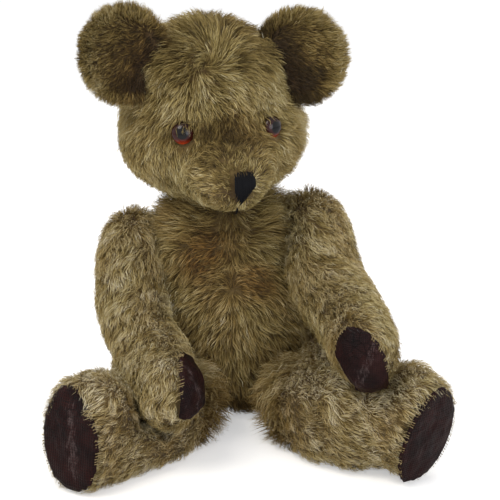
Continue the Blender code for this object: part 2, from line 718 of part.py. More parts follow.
def leg_shape(word, joints):
    centre, axis = joints["hip_" + word]
    sole, shin, knee = (np.array(place) for place in LEG_POSES[word][3:])
    facing = foot_frame(word)[0]
    thigh = centre + 0.0325 * axis
    ahead = np.cross(axis, (0, 0, 1))
    ahead = ahead if ahead[1] < 0 else -ahead
    spine = [
        thigh - 0.042 * ahead,
        thigh - 0.004 * ahead,
        knee,
        shin,
        sole - 0.034 * facing + np.array((0, 0, -0.002)),
        sole + 0.014 * facing,
    ]
    width = (0.034, 0.0360, 0.0440, 0.0410, 0.0360, 0.0320)
    height = (0.042, 0.0440, 0.0440, 0.0420, 0.0420, 0.0440)
    grid = tube(spine, width, height, (0.0, 0.0, 1.0), (0.045, 0.022), 2.3, (2.2, 2.4, 3.2, 3.2, 2.5, 2.1))
    body, arm = torso_shape(joints), arm_shape(word, joints)

    def pressed(points, sink):
        off = points - sole
        out = off @ facing
        spread = np.linalg.norm(off - out[..., None] * facing, axis=-1)
        crown = 0.0025 - 2.2 * spread**2
        points = points - np.maximum(out - crown + sink, 0)[..., None] * facing
        points = flat_on_floor(points, sink)
        away = points - centre
        away = np.linalg.norm(away - (away @ axis)[..., None] * axis, axis=-1)
        share = np.clip((away - HIP_CLEAR) / (HIP_WRAP[word] - HIP_CLEAR), 0, 1)
        low = np.clip((THIGH_TOP[1] - points[..., 2]) / (THIGH_TOP[1] - THIGH_TOP[0]), 0, 1)
        limit = GAP / 2 + sink - THIGH_REACH * low * share * share * (3 - 2 * share)
        points = keep_beyond(points, centre, axis, limit)
        for room, hold in ((HIP_ROOM, 1.0), (BELLY_ROOM, np.minimum(6 * share, 1)[..., None])):
            lifted = np.maximum(points, (-1, -1, BELLY_LOW))
            clear = pushed_out(lifted, body, TORSO_GRID, room + sink, axis)
            points = points + hold * (clear - lifted)
        return pushed_out(points, arm, ARM_GRID, ARM_ROOM + sink, PRESS[word])

    return body_shape(grid, pressed)


def make_leg(word, joints):
    centre, axis = joints["hip_" + word]
    shape, fine = leg_shape(word, joints), LEG_GRID
    made = list(cover_and_stuffing(f"leg_{word}", shape, fine, fine, [(centre + GAP / 2 * axis, axis, HIP_DISC)]))
    facing, toes, _ = foot_frame(word)
    sole = np.array(LEG_POSES[word][3])
    outline = oval(SOLE_PAD[1], SOLE_PAD[0], 0.08, 24)
    pad = patch(f"foot_pad_{word}", shape, fine, outline, sole, facing, toes, SOLE_DEPTH, OILCLOTH, COATED)
    return made + [pad]


# ---- The whole bear ----------------------------------------------------------------------------


def joint_empty(name, centre, axis, parent):
    """An empty on a joint's centre, its Z along the joint's axis."""
    made = bpy.data.objects.new(name, None)
    made.empty_display_size = 0.03
    bpy.context.scene.collection.objects.link(made)
    turn = Vector((0, 0, 1)).rotation_difference(Vector(axis)).to_matrix().to_4x4()
    made.parent = parent
    made.matrix_basis = Matrix.Translation(Vector(centre)) @ turn
    return made


def carry(parent, pieces):
    """Hangs pieces on an empty, their shapes kept where they are."""
    for piece in pieces:
        piece.data.transform(parent.matrix_basis.inverted())
        piece.parent = parent


def centre_over_origin(root):
    """Moves the bear so that the box around it stands on the origin."""
    bpy.context.view_layer.update()
    graph = bpy.context.evaluated_depsgraph_get()
    corners = []
    for piece in root.children_recursive:
        if piece.type == "EMPTY":
            continue
        whole = piece.evaluated_get(graph)
        shape = whole.to_mesh()
        corners += [whole.matrix_world @ vertex.co for vertex in shape.vertices]
        whole.to_mesh_clear()
    corners = np.array(corners)
    low, high = corners.min(axis=0), corners.max(axis=0)
    root.location = (-(low[0] + high[0]) / 2, -(low[1] + high[1]) / 2, -low[2])
    bpy.context.view_layer.update()


def main():
    for old in list(bpy.data.objects):
        bpy.data.objects.remove(old)
    joints = joint_points()
    root = bpy.data.objects.new("bear", None)
    bpy.context.scene.collection.objects.link(root)
    carry(root, make_torso(joints))
    limbs = [("neck", "head", make_head(joints), NECK_DISC)]
    for word in ("left", "right"):
        limbs.append((f"shoulder_{word}", "arm", make_arm(word, joints), SHOULDER_DISC))
        limbs.append((f"hip_{word}", "leg", make_leg(word, joints), HIP_DISC))
    for joint, limb, pieces, disc in limbs:
        centre, axis = joints[joint]
        on_limb, on_torso = joint_hardware(joint, limb, centre, axis, disc)
        carry(joint_empty(joint + "_joint", centre, axis, root), pieces + on_limb)
        carry(root, on_torso)
    centre_over_origin(root)


main()
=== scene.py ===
"""Dresses a jointed mohair bear: worn pile on its six cloth bodies, cupped ears, amber glass eyes,
black stitched nose, scuffed oilcloth paws and soles, and the plain studio that it sits in.

All lengths are in metres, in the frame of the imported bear, which faces -Y with its own left at +X.
"""

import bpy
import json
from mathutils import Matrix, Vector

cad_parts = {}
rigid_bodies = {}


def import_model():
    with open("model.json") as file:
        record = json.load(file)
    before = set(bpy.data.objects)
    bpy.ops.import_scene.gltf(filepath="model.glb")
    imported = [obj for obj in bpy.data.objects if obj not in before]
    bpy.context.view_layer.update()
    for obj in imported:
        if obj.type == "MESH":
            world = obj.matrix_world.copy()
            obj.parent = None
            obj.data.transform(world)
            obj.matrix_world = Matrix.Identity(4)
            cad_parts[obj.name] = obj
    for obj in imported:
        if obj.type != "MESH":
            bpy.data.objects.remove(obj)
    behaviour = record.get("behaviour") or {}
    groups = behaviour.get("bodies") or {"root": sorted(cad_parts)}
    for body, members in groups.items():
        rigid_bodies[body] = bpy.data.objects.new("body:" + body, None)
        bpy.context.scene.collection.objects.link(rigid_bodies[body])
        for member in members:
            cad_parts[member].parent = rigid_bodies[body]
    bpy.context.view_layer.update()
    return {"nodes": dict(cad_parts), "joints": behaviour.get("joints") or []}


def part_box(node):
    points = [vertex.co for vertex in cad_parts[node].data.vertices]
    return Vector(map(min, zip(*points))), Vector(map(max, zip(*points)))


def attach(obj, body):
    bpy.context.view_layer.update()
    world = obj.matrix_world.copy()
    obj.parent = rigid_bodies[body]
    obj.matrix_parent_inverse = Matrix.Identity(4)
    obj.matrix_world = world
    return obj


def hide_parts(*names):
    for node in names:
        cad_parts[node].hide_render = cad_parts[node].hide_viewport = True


bl_info = {
    "name": "Threadbare Mohair Bear",
    "version": (1, 0, 0),
    "blender": (4, 5, 0),
    "location": "3D View > Sidebar > Bear",
    "description": "Dresses a jointed mohair bear in worn pile, glass, thread and oilcloth",
    "category": "Object",
}

import json
import math

import bmesh
import bpy
import numpy as np
from bpy.props import FloatProperty, FloatVectorProperty, IntProperty, PointerProperty
from bpy.types import Operator, Panel, PropertyGroup
from mathutils import Vector
from mathutils.bvhtree import BVHTree
from mathutils.kdtree import KDTree

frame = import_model()

# How far below its middle the nose's stitches end, from the bear's right to its left
NOSE_FOOT = ((-1.0, -0.6, -0.33, 0.0, 0.5, 1.0), (-0.0050, -0.0095, -0.0130, -0.0092, -0.0035, 0.0020))
# Per pad: where its pale rub lies, its slant, its width, how strong it is, and which side is cracked
PAD_WEAR = {"foot_pad_right": (0.08, -0.15, 0.13, 0.55, 1), "foot_pad_left": (-0.30, 0.20, 0.16, 0.16, 1),
            "paw_pad_left": (0.10, 0.35, 0.16, 0.50, 1), "paw_pad_right": (-0.10, 0.10, 0.20, 0.45, -1)}
BODIES = ("head", "torso", "arm_left", "arm_right", "leg_left", "leg_right")
PILE_FOOT = 0.0020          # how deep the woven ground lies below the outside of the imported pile
FLOOR_ROOM = 0.0006         # the lowest that a hair reaches
FILL_STEPS = 20             # how long the stuffing presses the cloth out
HAIR_LENGTH = 0.0118
HAIR_WIDTH = 0.00048
NOSE_HALF = 0.0086          # half the width of the stitched nose
EAR_REACH = 0.037           # from the middle of an ear to its rim
THREAD_LIFT = 0.0005        # how far a stitch's middle lies above what it is sewn to
THREAD_SUNK = 0.0016        # how far the ends of the nose's stitches go in
NOSE_THREAD = 0.00078       # the threads' radii
MOUTH_THREAD = 0.00055
PAD_THREAD = 0.00026
PAD_LIFT = 0.0006           # how far the oilcloth lies above its solid
PAD_TUCK = 0.0016           # how far its edge is turned in
PAD_ROOM = 0.0013           # how near to a pad no pile grows
STITCH_IN = 0.0012          # how far a whip stitch reaches in from a pad's edge
STITCH_OUT = 0.0010         # and out from it
BAND = 0.314                # the length of one band of a wave texture at scale 1
FLOOR_REACH = 6.0           # from the bear to the sides of the floor
SIGHT = (0.0, 0.9623, -0.2720)  # which way the camera looks
UP = np.array((0.0, 0.0, 1.0))


# ---- Small tools --------------------------------------------------------------------------------

def linear(code):
    """A colour written as sRGB hex, as the linear values that shaders take."""
    parts = [int(code[i:i + 2], 16) / 255 for i in (1, 3, 5)]
    return [p / 12.92 if p <= 0.04045 else ((p + 0.055) / 1.055) ** 2.4 for p in parts] + [1.0]


def unit(vectors):
    vectors = np.asarray(vectors, float)
    return vectors / np.maximum(np.linalg.norm(vectors, axis=-1, keepdims=True), 1e-12)


def across_normal(vectors, normals):
    """The part of each vector that lies in the surface."""
    return vectors - (vectors * normals).sum(-1, keepdims=True) * normals


def fade(value, start, end):
    """0 at start, 1 at end, and smooth between them."""
    t = np.clip((value - start) / (end - start), 0, 1)
    return t * t * (3 - 2 * t)


def ripple(points, size, seed):
    """Smooth random values of about -1 to 1 with features of the given size."""
    rng = np.random.default_rng(seed)
    waves = unit(rng.normal(size=(14, 3))) * rng.uniform(0.6, 1.5, (14, 1)) * 2 * math.pi / (2 * size)
    return np.sin(points @ waves.T + rng.uniform(0, 2 * math.pi, 14)).sum(1) / 3.4


def middle(node):
    """The middle of a solid's box."""
    low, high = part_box(node)
    return np.array((low + high) / 2)


def linked(name, data):
    """A new piece, lamp or camera in the scene."""
    piece = bpy.data.objects.new(name, data)
    bpy.context.scene.collection.objects.link(piece)
    return piece


def shown(name, vertices, faces, material, smooth=True):
    """A new mesh piece from arrays of corners and faces."""
    mesh = bpy.data.meshes.new(name)
    mesh.from_pydata([tuple(v) for v in vertices], [], [tuple(f) for f in faces])
    mesh.validate()
    mesh.shade_smooth() if smooth else mesh.shade_flat()
    mesh.materials.append(material)
    return linked(name, mesh)


def joined(piece, body, slot, *solids):
    """Says which body a piece rides on and which solids it stands for; the slot, for what it is made of, is
    not used.
    """
    if solids:
        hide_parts(*solids)
    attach(piece, body)
    return piece


def settled(piece):
    """Applies the piece's modifiers."""
    bpy.context.view_layer.update()
    result = bpy.data.meshes.new_from_object(piece.evaluated_get(bpy.context.evaluated_depsgraph_get()))
    piece.modifiers.clear()
    old, piece.data = piece.data, result
    bpy.data.meshes.remove(old)
    return piece


def relaxed(piece, rounds):
    """Evens out a piece's surface."""
    step = piece.modifiers.new("relax", "SMOOTH")
    step.factor, step.iterations = 0.5, rounds
    return settled(piece)


def closed_up(piece):
    """Joins corners that lie together, and turns all faces outward."""
    bm = bmesh.new()
    bm.from_mesh(piece.data)
    bmesh.ops.remove_doubles(bm, verts=bm.verts[:], dist=1e-6)
    bmesh.ops.recalc_face_normals(bm, faces=bm.faces[:])
    bm.to_mesh(piece.data)
    bm.free()
    piece.data.shade_smooth()


def corners(mesh):
    """A mesh's corners, one to a row."""
    found = np.empty(len(mesh.vertices) * 3, np.float32)
    mesh.vertices.foreach_get("co", found)
    return found.reshape(-1, 3).astype(float)


def triangles(mesh):
    """The numbers of the corners of a mesh's triangles, one triangle to a row."""
    mesh.calc_loop_triangles()
    found = np.empty(len(mesh.loop_triangles) * 3, np.int32)
    mesh.loop_triangles.foreach_get("vertices", found)
    return found.reshape(-1, 3)


def tree_of(piece):
    """A piece's faces, to find places on them."""
    mesh = piece.data
    return BVHTree.FromPolygons([v.co for v in mesh.vertices], [face.vertices for face in mesh.polygons])


def struck(solid, start, way, reach):
    """Where a line first meets a solid, or None."""
    place = solid.ray_cast(Vector(start), Vector(way), reach)[0]
    return None if place is None else np.array(place)


def outside_of(cover, stuffing):
    """The outer face of a hollow cloth body, without its lining."""
    filling, mesh = tree_of(stuffing), cover.data
    faces = []
    for face in mesh.polygons:
        hit = filling.ray_cast(face.center + face.normal * 1e-5, face.normal, 0.006)
        if hit[0] is None:
            faces.append(tuple(face.vertices))
    return BVHTree.FromPolygons([v.co for v in mesh.vertices], faces)


# ---- Materials ----------------------------------------------------------------------------------

def add(tree, kind, settings=(), **links):
    """Adds a shader node, sets its properties and sockets, and links sockets to other nodes' outputs."""
    made = tree.nodes.new(kind)
    for name, value in dict(settings).items():
        if isinstance(name, int) or name in made.inputs:
            made.inputs[name].default_value = value
        else:
            setattr(made, name, value)
    for name, source in links.items():
        socket = made.inputs[int(name[1:])] if name[0] == "_" else made.inputs[name.replace("_", " ")]
        tree.links.new(source, socket)
    return made


def surface(name, settings):
    """A material with one Principled shader set to plain values. Returns it, its tree and the shader."""
    made = bpy.data.materials.new(name)
    made.use_nodes = True
    shader = made.node_tree.nodes["Principled BSDF"]
    for socket, value in settings.items():
        shader.inputs[socket].default_value = value
    return made, made.node_tree, shader


def ramp(tree, factor, stops):
    """Colours along a value."""
    made = add(tree, "ShaderNodeValToRGB", Fac=factor)
    band = made.color_ramp
    while len(band.elements) < len(stops):
        band.elements.new(0.5)
    for element, (place, code) in zip(band.elements, stops):
        element.position = place
        element.color = linear(code)
    return made.outputs["Color"]


def mixed(tree, factor, first, second, way="MIX"):
    """Two colours, each a plain one or a node's output, mixed or multiplied."""
    made = add(tree, "ShaderNodeMix", {"data_type": "RGBA", "blend_type": way})
    for socket, value in ((0, factor), (6, first), (7, second)):
        if isinstance(value, bpy.types.NodeSocket):
            tree.links.new(value, made.inputs[socket])
        else:
            made.inputs[socket].default_value = value
    return made.outputs[2]


def bumped(tree, shader, height, distance):
    """Makes the light fall as if the surface stood out by the height."""
    made = add(tree, "ShaderNodeBump", {"Strength": 1.0, "Distance": distance}, Height=height)
    tree.links.new(made.outputs["Normal"], shader.inputs["Normal"])


def woven(tree, place, scale, ways, settings):
    """The threads of a weave, across and along: 1 on a thread and 0 between them."""
    threads = [add(tree, "ShaderNodeTexWave", {"Scale": scale, "bands_direction": way, **settings},
                   Vector=place).outputs["Fac"] for way in ways]
    return add(tree, "ShaderNodeMath", {"operation": "MAXIMUM"}, _0=threads[0], _1=threads[1]).outputs[0]


def mohair_pile():
    """Mohair pile, woven in and worn dull: each hair runs from a dark foot to a bleached, straw-gold tip.

    A hair's map holds its depth of colour across and its hue up, from red-brown to olive gold.
    """
    made, tree, shader = surface("mohair_pile", {"Roughness": 0.60, "Specular IOR Level": 0.22,
                                                 "Sheen Weight": 0.03, "Sheen Roughness": 0.5})
    place = add(tree, "ShaderNodeUVMap", {"uv_map": "OFBake"})
    split = add(tree, "ShaderNodeSeparateXYZ", Vector=place.outputs["UV"])
    rust = ramp(tree, split.outputs["X"], [(0.0, "#120B05"), (0.25, "#4E3517"), (0.5, "#8B6731"),
                                           (0.75, "#B09058"), (1.0, "#D0B684")])
    gold = ramp(tree, split.outputs["X"], [(0.0, "#211909"), (0.25, "#6B5A2E"), (0.5, "#A6945B"),
                                           (0.75, "#CFC292"), (1.0, "#F0EAD0")])
    tree.links.new(mixed(tree, split.outputs["Y"], rust, gold), shader.inputs["Base Color"])
    return made


def mohair_ground(name="mohair_ground", light="#7C673A", dark="#5A4526"):
    """The woven cotton ground of mohair cloth: dull, brown, its threads seen where the pile has gone.

    Real threads stand 0.5 mm apart; they are drawn at 1.1 mm, so that they show.
    """
    made, tree, shader = surface(name, {"Roughness": 0.85, "Specular IOR Level": 0.25,
                                        "Sheen Weight": 0.15, "Sheen Roughness": 0.5})
    place = add(tree, "ShaderNodeTexCoord").outputs["Object"]
    pitch = 0.0011
    weave = woven(tree, place, BAND / pitch, "XZ", {"Distortion": 1.2})
    worn = add(tree, "ShaderNodeTexNoise", {"Scale": 60.0, "Detail": 4.0}, Vector=place)
    base = ramp(tree, worn.outputs["Fac"], [(0.3, dark), (0.7, light)])
    shade = mixed(tree, weave, linear("#8C8C8C"), linear("#FFFFFF"))
    tree.links.new(mixed(tree, 0.8, base, shade, "MULTIPLY"), shader.inputs["Base Color"])
    bumped(tree, shader, weave, 0.0004)
    return made


def oilcloth():
    """Oil-coated cotton, once glossy and deep maroon: it keeps a dull shine, its threads show through as
    fine ridges, and rubbing has left grey-lilac scuffs and black cracks."""
    made, tree, shader = surface("worn_oilcloth", {"Specular IOR Level": 0.09})
    place = add(tree, "ShaderNodeUVMap", {"uv_map": "pad"}).outputs["UV"]
    metres = add(tree, "ShaderNodeTexCoord").outputs["Object"]
    blotch = add(tree, "ShaderNodeTexNoise", {"Scale": 70.0, "Detail": 5.0, "Roughness": 0.6}, Vector=metres)
    base = ramp(tree, blotch.outputs["Fac"], [(0.28, "#110707"), (0.45, "#1D0B0A"), (0.62, "#29110F"),
                                              (0.8, "#3A2221")])
    scratch = add(tree, "ShaderNodeMapping", {"Scale": (1.0, 0.28, 1.0)}, Vector=place)
    scuffs = add(tree, "ShaderNodeTexNoise", {"Scale": 34.0, "Detail": 7.0, "Roughness": 0.75},
                 Vector=scratch.outputs[0]).outputs["Fac"]
    rubbed = add(tree, "ShaderNodeAttribute", {"attribute_name": "rubbed"})
    broken = add(tree, "ShaderNodeMath", {"operation": "MULTIPLY_ADD", 1: 3.0, 2: -1.55}, _0=scuffs)
    raised = add(tree, "ShaderNodeMath", {"operation": "ADD"}, _0=broken.outputs[0],
                 _1=rubbed.outputs["Fac"])
    sharp = add(tree, "ShaderNodeMapRange", {"From Min": 0.30, "From Max": 1.30}, Value=raised.outputs[0])
    scuffed = mixed(tree, sharp.outputs["Result"], base, linear("#6E5E5C"))
    split = add(tree, "ShaderNodeTexVoronoi", {"feature": "DISTANCE_TO_EDGE", "Scale": 150.0}, Vector=metres)
    crack = add(tree, "ShaderNodeMapRange", {"From Min": 0.0, "From Max": 0.045, "To Min": 1.0,
                                             "To Max": 0.0}, Value=split.outputs["Distance"])
    zone = add(tree, "ShaderNodeAttribute", {"attribute_name": "cracked"})
    cracks = add(tree, "ShaderNodeMath", {"operation": "MULTIPLY"}, _0=crack.outputs["Result"],
                 _1=zone.outputs["Fac"]).outputs[0]
    cracked = mixed(tree, cracks, scuffed, linear("#0A0606"))
    weave = woven(tree, place, 13.0, "XY", {"Distortion": 1.5, "Detail": 2.0})
    threads = ramp(tree, weave, [(0.35, "#767070"), (0.9, "#FFFFFF")])
    tree.links.new(mixed(tree, 0.75, cracked, threads, "MULTIPLY"), shader.inputs["Base Color"])
    rough = add(tree, "ShaderNodeMapRange", {"To Min": 0.28, "To Max": 0.60}, Value=scuffs)
    tree.links.new(rough.outputs["Result"], shader.inputs["Roughness"])
    depth = add(tree, "ShaderNodeMath", {"operation": "SUBTRACT"}, _0=weave, _1=cracks)
    bumped(tree, shader, depth.outputs[0], 0.0003)
    return made


def twisted_thread(name, code, dark, gloss):
    """Cotton embroidery thread, plied: fine slanting strands along each stitch, with painted highlights on
    them and painted shade between them.
    """
    made, tree, shader = surface(name, {"Roughness": gloss, "Specular IOR Level": 0.10})
    place = add(tree, "ShaderNodeTexCoord").outputs["Object"]
    strands = add(tree, "ShaderNodeTexWave", {"Scale": 330.0, "Distortion": 3.0, "Detail": 2.0,
                                              "bands_direction": "DIAGONAL"}, Vector=place).outputs["Fac"]
    # The dark colour is painted shade between the strands, and the thread's own colour on them carries
    # painted highlights.
    tree.links.new(ramp(tree, strands, [(0.1, dark), (0.9, code)]), shader.inputs["Base Color"])
    bumped(tree, shader, strands, 0.00015)
    return made


def amber_glass():
    """Pressed amber glass over a black pupil: deep brown, with a red-orange glow painted low down where
    light would gather in the glass, and painted shade darkening it toward the top.
    """
    made, tree, shader = surface("amber_glass", {"Roughness": 0.06, "IOR": 1.5,
                                                 "Specular IOR Level": 0.30})
    place = add(tree, "ShaderNodeUVMap", {"uv_map": "eye"})
    split = add(tree, "ShaderNodeSeparateXYZ", Vector=place.outputs["UV"])
    # The iris colour runs from a painted red-orange glow at the bottom, where light would gather in the
    # glass, to painted shade at the top.
    iris_and_painted_glow = ramp(tree, split.outputs["Y"], [(0.0, "#B8401A"), (0.10, "#7A2410"), (0.24, "#34100A"),
                                           (0.7, "#2C100C"), (1.0, "#180908")])
    pupil = ramp(tree, split.outputs["X"], [(0.0, "#FFFFFF"), (0.50, "#FFFFFF"), (0.58, "#000000"),
                                            (1.0, "#000000")])
    tree.links.new(mixed(tree, pupil, iris_and_painted_glow, linear("#070505")), shader.inputs["Base Color"])
    return made


def pressed_board():
    """Pressed fibre board, as the joint discs are cut from: brown, matt, with fine fibres."""
    made, tree, shader = surface("pressed_board", {"Roughness": 0.8})
    fibres = add(tree, "ShaderNodeTexNoise", {"Scale": 500.0, "Detail": 4.0})
    tree.links.new(ramp(tree, fibres.outputs["Fac"], [(0.3, "#5E4226"), (0.7, "#8A6A42")]),
                   shader.inputs["Base Color"])
    return made


def dull_steel():
    """Drawn and stamped steel, dulled with age: grey with soft, broken reflections."""
    made, tree, shader = surface("dull_steel", {"Metallic": 1.0, "Base Color": linear("#8F8D8A")})
    tarnish = add(tree, "ShaderNodeTexNoise", {"Scale": 400.0, "Detail": 4.0})
    rough = add(tree, "ShaderNodeMapRange", {"To Min": 0.28, "To Max": 0.6}, Value=tarnish.outputs["Fac"])
    tree.links.new(rough.outputs["Result"], shader.inputs["Roughness"])
    return made


# ---- The cloth bodies ---------------------------------------------------------------------------

def full_spots(name):
    """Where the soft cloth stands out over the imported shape: place, radius and how far."""
    part, _, word = name.partition("_")
    side = 1 if word == "left" else -1
    if part == "head":
        skull, left = middle("head_cover"), head_axes()[0]
        low = skull - 0.030 * UP
        return [(low + 0.055 * left, 0.060, 0.006), (low - 0.055 * left, 0.050, 0.001),
                (skull + (0, 0.01, 0.058), 0.060, 0.0035)]
    if part == "leg":
        heel = middle("foot_pad_" + word) + (-0.024 * side, 0.026, 0.034)
        thigh = np.array((-0.0034 + 0.040 * side, 0.012, 0.040))
        return [(heel, 0.050, 0.0060 if side > 0 else 0.0085), (thigh, 0.045, 0.006)]
    return []


def fuller(spots, place):
    """How far the cloth stands out at a place."""
    rises = [rise * (1 - fade(math.dist(place, spot), 0.25 * radius, radius))
             for spot, radius, rise in spots]
    return max(rises, default=0.0)


def cloth_mesh(name, solid, ground, spacing):
    """A closed mesh of even spacing in the shape of a solid, of one woven ground."""
    piece = linked(name, solid.data.copy())
    piece.data.materials.clear()
    piece.data.materials.append(bpy.data.materials[ground])
    step = piece.modifiers.new("ground", "REMESH")
    step.mode, step.voxel_size = "VOXEL", spacing
    return settled(piece)


def sewn_body(name, settings):
    """The woven ground of one stuffed body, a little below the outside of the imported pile.

    Each corner goes below the outside by the same depth, less where the soft cloth stands out.
    After the filling, none may lie much nearer to the outside than the foot of the pile.
    """
    cover, stuffing = frame["nodes"][name + "_cover"], frame["nodes"][name + "_stuffing"]
    piece = cloth_mesh(name + "_cloth", stuffing, "mohair_ground", settings.voxel)
    outside, spots = outside_of(cover, stuffing), full_spots(name)
    depth = PILE_FOOT + settings.swell
    for vertex in piece.data.vertices:
        place, normal, _, _ = outside.find_nearest(vertex.co)
        if place is not None:
            vertex.co = place + normal * (fuller(spots, place) - depth)
    relaxed(piece, 3)
    filled(piece, settings)
    for vertex in piece.data.vertices:
        place, normal, _, _ = outside.find_nearest(vertex.co)
        short = 0.8 * PILE_FOOT - fuller(spots, place) - (place - vertex.co).dot(normal)
        if short > 0:
            vertex.co -= normal * short
    piece.data.shade_smooth()
    joined(piece, name, "mohair", name + "_cover", name + "_stuffing")
    return piece


def filled(piece, settings):
    """Lets the stuffing press the cloth out, as far as the cap."""
    start = corners(piece.data)
    cloth = piece.modifiers.new("filling", "CLOTH")
    cloth.settings.use_pressure = True
    cloth.settings.uniform_pressure_force = settings.pressure
    cloth.settings.effector_weights.gravity = 0
    cloth.settings.quality = 4
    for step in range(1, FILL_STEPS + 1):
        bpy.context.scene.frame_set(step)
    settled(piece)
    moved = corners(piece.data) - start
    length = np.linalg.norm(moved, axis=1, keepdims=True)
    moved *= np.minimum(settings.swell / np.maximum(length, 1e-9), 1)
    piece.data.vertices.foreach_set("co", (start + moved).astype(np.float32).ravel())
    bpy.context.scene.frame_set(1)


# ---- The pile -----------------------------------------------------------------------------------

class Nap:
    """What the pile does at each of its roots: way, length, lean, depth of colour and hue."""

    def __init__(self, places, normals):
        count = len(places)
        self.places, self.normals = places, normals
        self.way = np.tile((0.0, 0.0, -1.0), (count, 1))
        self.length = np.full(count, HAIR_LENGTH)
        self.lift = np.full(count, 0.55)        # sine of the angle that hairs stand at
        self.depth = np.full(count, 0.50)
        self.hue = np.full(count, 0.80)         # 0 is red-brown and 1 is olive gold
        self.clump = np.full(count, 0.50)       # how far a hair's tip is pulled into its tuft
        self.wild = 0.14                        # how far neighbouring tufts lean apart

    def spot(self, centre, radius):
        """1 at a place, fading to 0 at a distance from it."""
        return 1 - fade(np.linalg.norm(self.places - centre, axis=1), 0.25 * radius, radius)

    def change(self, share, longer=0.0, lift=0.0, depth=0.0, hue=0.0, way=None):
        """Changes the pile, at each root by as large a share as is given for it."""
        self.length *= 1 + longer * share
        self.lift += lift * share
        self.depth += depth * share
        self.hue += hue * share
        if way is not None:
            self.way += share[:, None] * way

    def mottle(self, depth, patch, hue, wide, seed):
        """Uneven wear: small patches that differ in depth, and wide ones that differ in hue."""
        self.depth += depth * ripple(self.places, patch, seed)
        self.hue += hue * ripple(self.places, wide, seed + 1)


def roots(piece, count, keep, rng):
    """Scatters roots over a piece, evenly apart from what keep thins out."""
    mesh = piece.data
    points, faces = corners(mesh), triangles(mesh)
    normals = np.empty(len(mesh.vertices) * 3, np.float32)
    mesh.vertices.foreach_get("normal", normals)
    normals = normals.reshape(-1, 3).astype(float)
    a, b, c = (points[faces[:, i]] for i in range(3))
    area = np.linalg.norm(np.cross(b - a, c - a), axis=1)
    weight = area * keep((a + b + c) / 3, unit(normals[faces].sum(1)))
    chosen = np.sort(rng.choice(len(faces), count, p=weight / weight.sum()))
    u, v = rng.random((2, count))
    flip = u + v > 1
    u[flip], v[flip] = 1 - u[flip], 1 - v[flip]
    shares = np.stack((1 - u - v, u, v), axis=1)[..., None]
    return (points[faces[chosen]] * shares).sum(1), unit((normals[faces[chosen]] * shares).sum(1))


def pile(name, piece, body, count, dress, keep, seed, slot="mohair", lump=12.0, pad=None):
    """Grows one body's pile as tapered ribbons, in tufts, and makes it ride on its body."""
    rng = np.random.default_rng(seed)
    places, normals = roots(piece, count, keep, rng)
    if pad:
        grown = off_the_pad(pad, places, normals)
        places, normals, count = places[grown], normals[grown], int(grown.sum())
    nap = Nap(places, normals)
    dress(nap)
    loose = np.stack([ripple(places, 0.011, seed + k) for k in (1, 2, 3)], axis=1)
    close = np.stack([ripple(places, 0.0045, seed + k) for k in (4, 5, 6)], axis=1)
    fine = rng.normal(size=(count, 3))
    way = unit(across_normal(unit(nap.way) + 0.26 * loose + nap.wild * close + 0.17 * fine, normals))
    lean = np.clip(nap.lift + rng.normal(0, 0.11, count), 0.06, 0.96)[:, None]
    stand = unit(way * np.sqrt(1 - lean**2) + normals * lean)
    length = (nap.length * rng.uniform(0.62, 1.22, count))[:, None]
    tip = places + stand * length - normals * 0.08 * length
    # Each hair's tip is pulled to the tip of the nearest tuft's own hair
    tufts = rng.choice(count, max(int(count / lump), 1), replace=False)
    tree = KDTree(len(tufts))
    for index, tuft in enumerate(tufts):
        tree.insert(places[tuft], index)
    tree.balance()
    owner = tufts[[tree.find(place)[1] for place in places]]
    pull = (nap.clump * rng.uniform(0.2, 1.1, count))[:, None]
    tip = tip + pull * (tip[owner] - tip)
    mid = places + (tip - places) * 0.50 + normals * 0.12 * length
    mid += 0.07 * length * rng.normal(size=(count, 3))
    for points in (mid, tip):
        points[:, 2] = np.maximum(points[:, 2], FLOOR_ROOM)
    side = unit(np.cross(tip - places, normals) + 0.45 * rng.normal(size=(count, 3)))
    half = (HAIR_WIDTH / 2 * rng.uniform(0.7, 1.4, count))[:, None] * side
    rows = np.stack((places - half, places + half, mid - 0.8 * half, mid + 0.8 * half, tip), axis=1)

    tone = nap.depth + rng.normal(0, 0.075, count) + (rng.normal(0, 0.075, count))[owner]
    tone = np.clip(tone, 0.06, 0.94)
    hue = np.clip(nap.hue + rng.normal(0, 0.08, count), 0.01, 0.985)
    # Three hairs hold the ends and the middle of the map, so that it spans nearly the whole square
    tone[:3], hue[:3] = (0.05, 0.5, 0.95), (0.005, 0.5, 0.985)
    depths = np.stack([np.clip(tone + d, 0.01, 0.99) for d in (-0.24, -0.24, 0.0, 0.0, 0.13)], axis=1)
    hues = np.stack([hue + d for d in (0.0, 0.006, 0.0, 0.006, 0.003)], axis=1)
    made = ribbons(name, rows, np.stack((depths, hues), axis=2))
    made.data.materials.append(bpy.data.materials["mohair_pile"])
    return joined(made, body, slot)


def ribbons(name, rows, colours):
    """A mesh of one quad and one end triangle for each hair, with its map."""
    count = len(rows)
    mesh = bpy.data.meshes.new(name)
    mesh.vertices.add(count * 5)
    mesh.vertices.foreach_set("co", rows.reshape(-1).astype(np.float32))
    order = np.array((0, 1, 3, 2, 2, 3, 4), np.int32)
    loops = (np.arange(count, dtype=np.int32)[:, None] * 5 + order).ravel()
    mesh.loops.add(len(loops))
    mesh.loops.foreach_set("vertex_index", loops)
    mesh.polygons.add(count * 2)
    starts = (np.arange(count, dtype=np.int32)[:, None] * 7 + np.array((0, 4), np.int32)).ravel()
    mesh.polygons.foreach_set("loop_start", starts)
    layer = mesh.uv_layers.new(name="OFBake")
    places = colours.reshape(-1, 2)[loops]
    layer.data.foreach_set("uv", places.reshape(-1).astype(np.float32))
    mesh.update(calc_edges=True)
    mesh.validate()
    mesh.shade_smooth()
    return linked(name, mesh)


def even(places, normals):
    """Pile that is as thick everywhere."""
    return np.ones(len(places))


def head_axes():
    """The head's own left, front and up, from where its eyes are."""
    left = middle("eye_left") - middle("eye_right")
    left = unit(left * (1, 1, 0))
    return left, np.cross(left, UP), UP


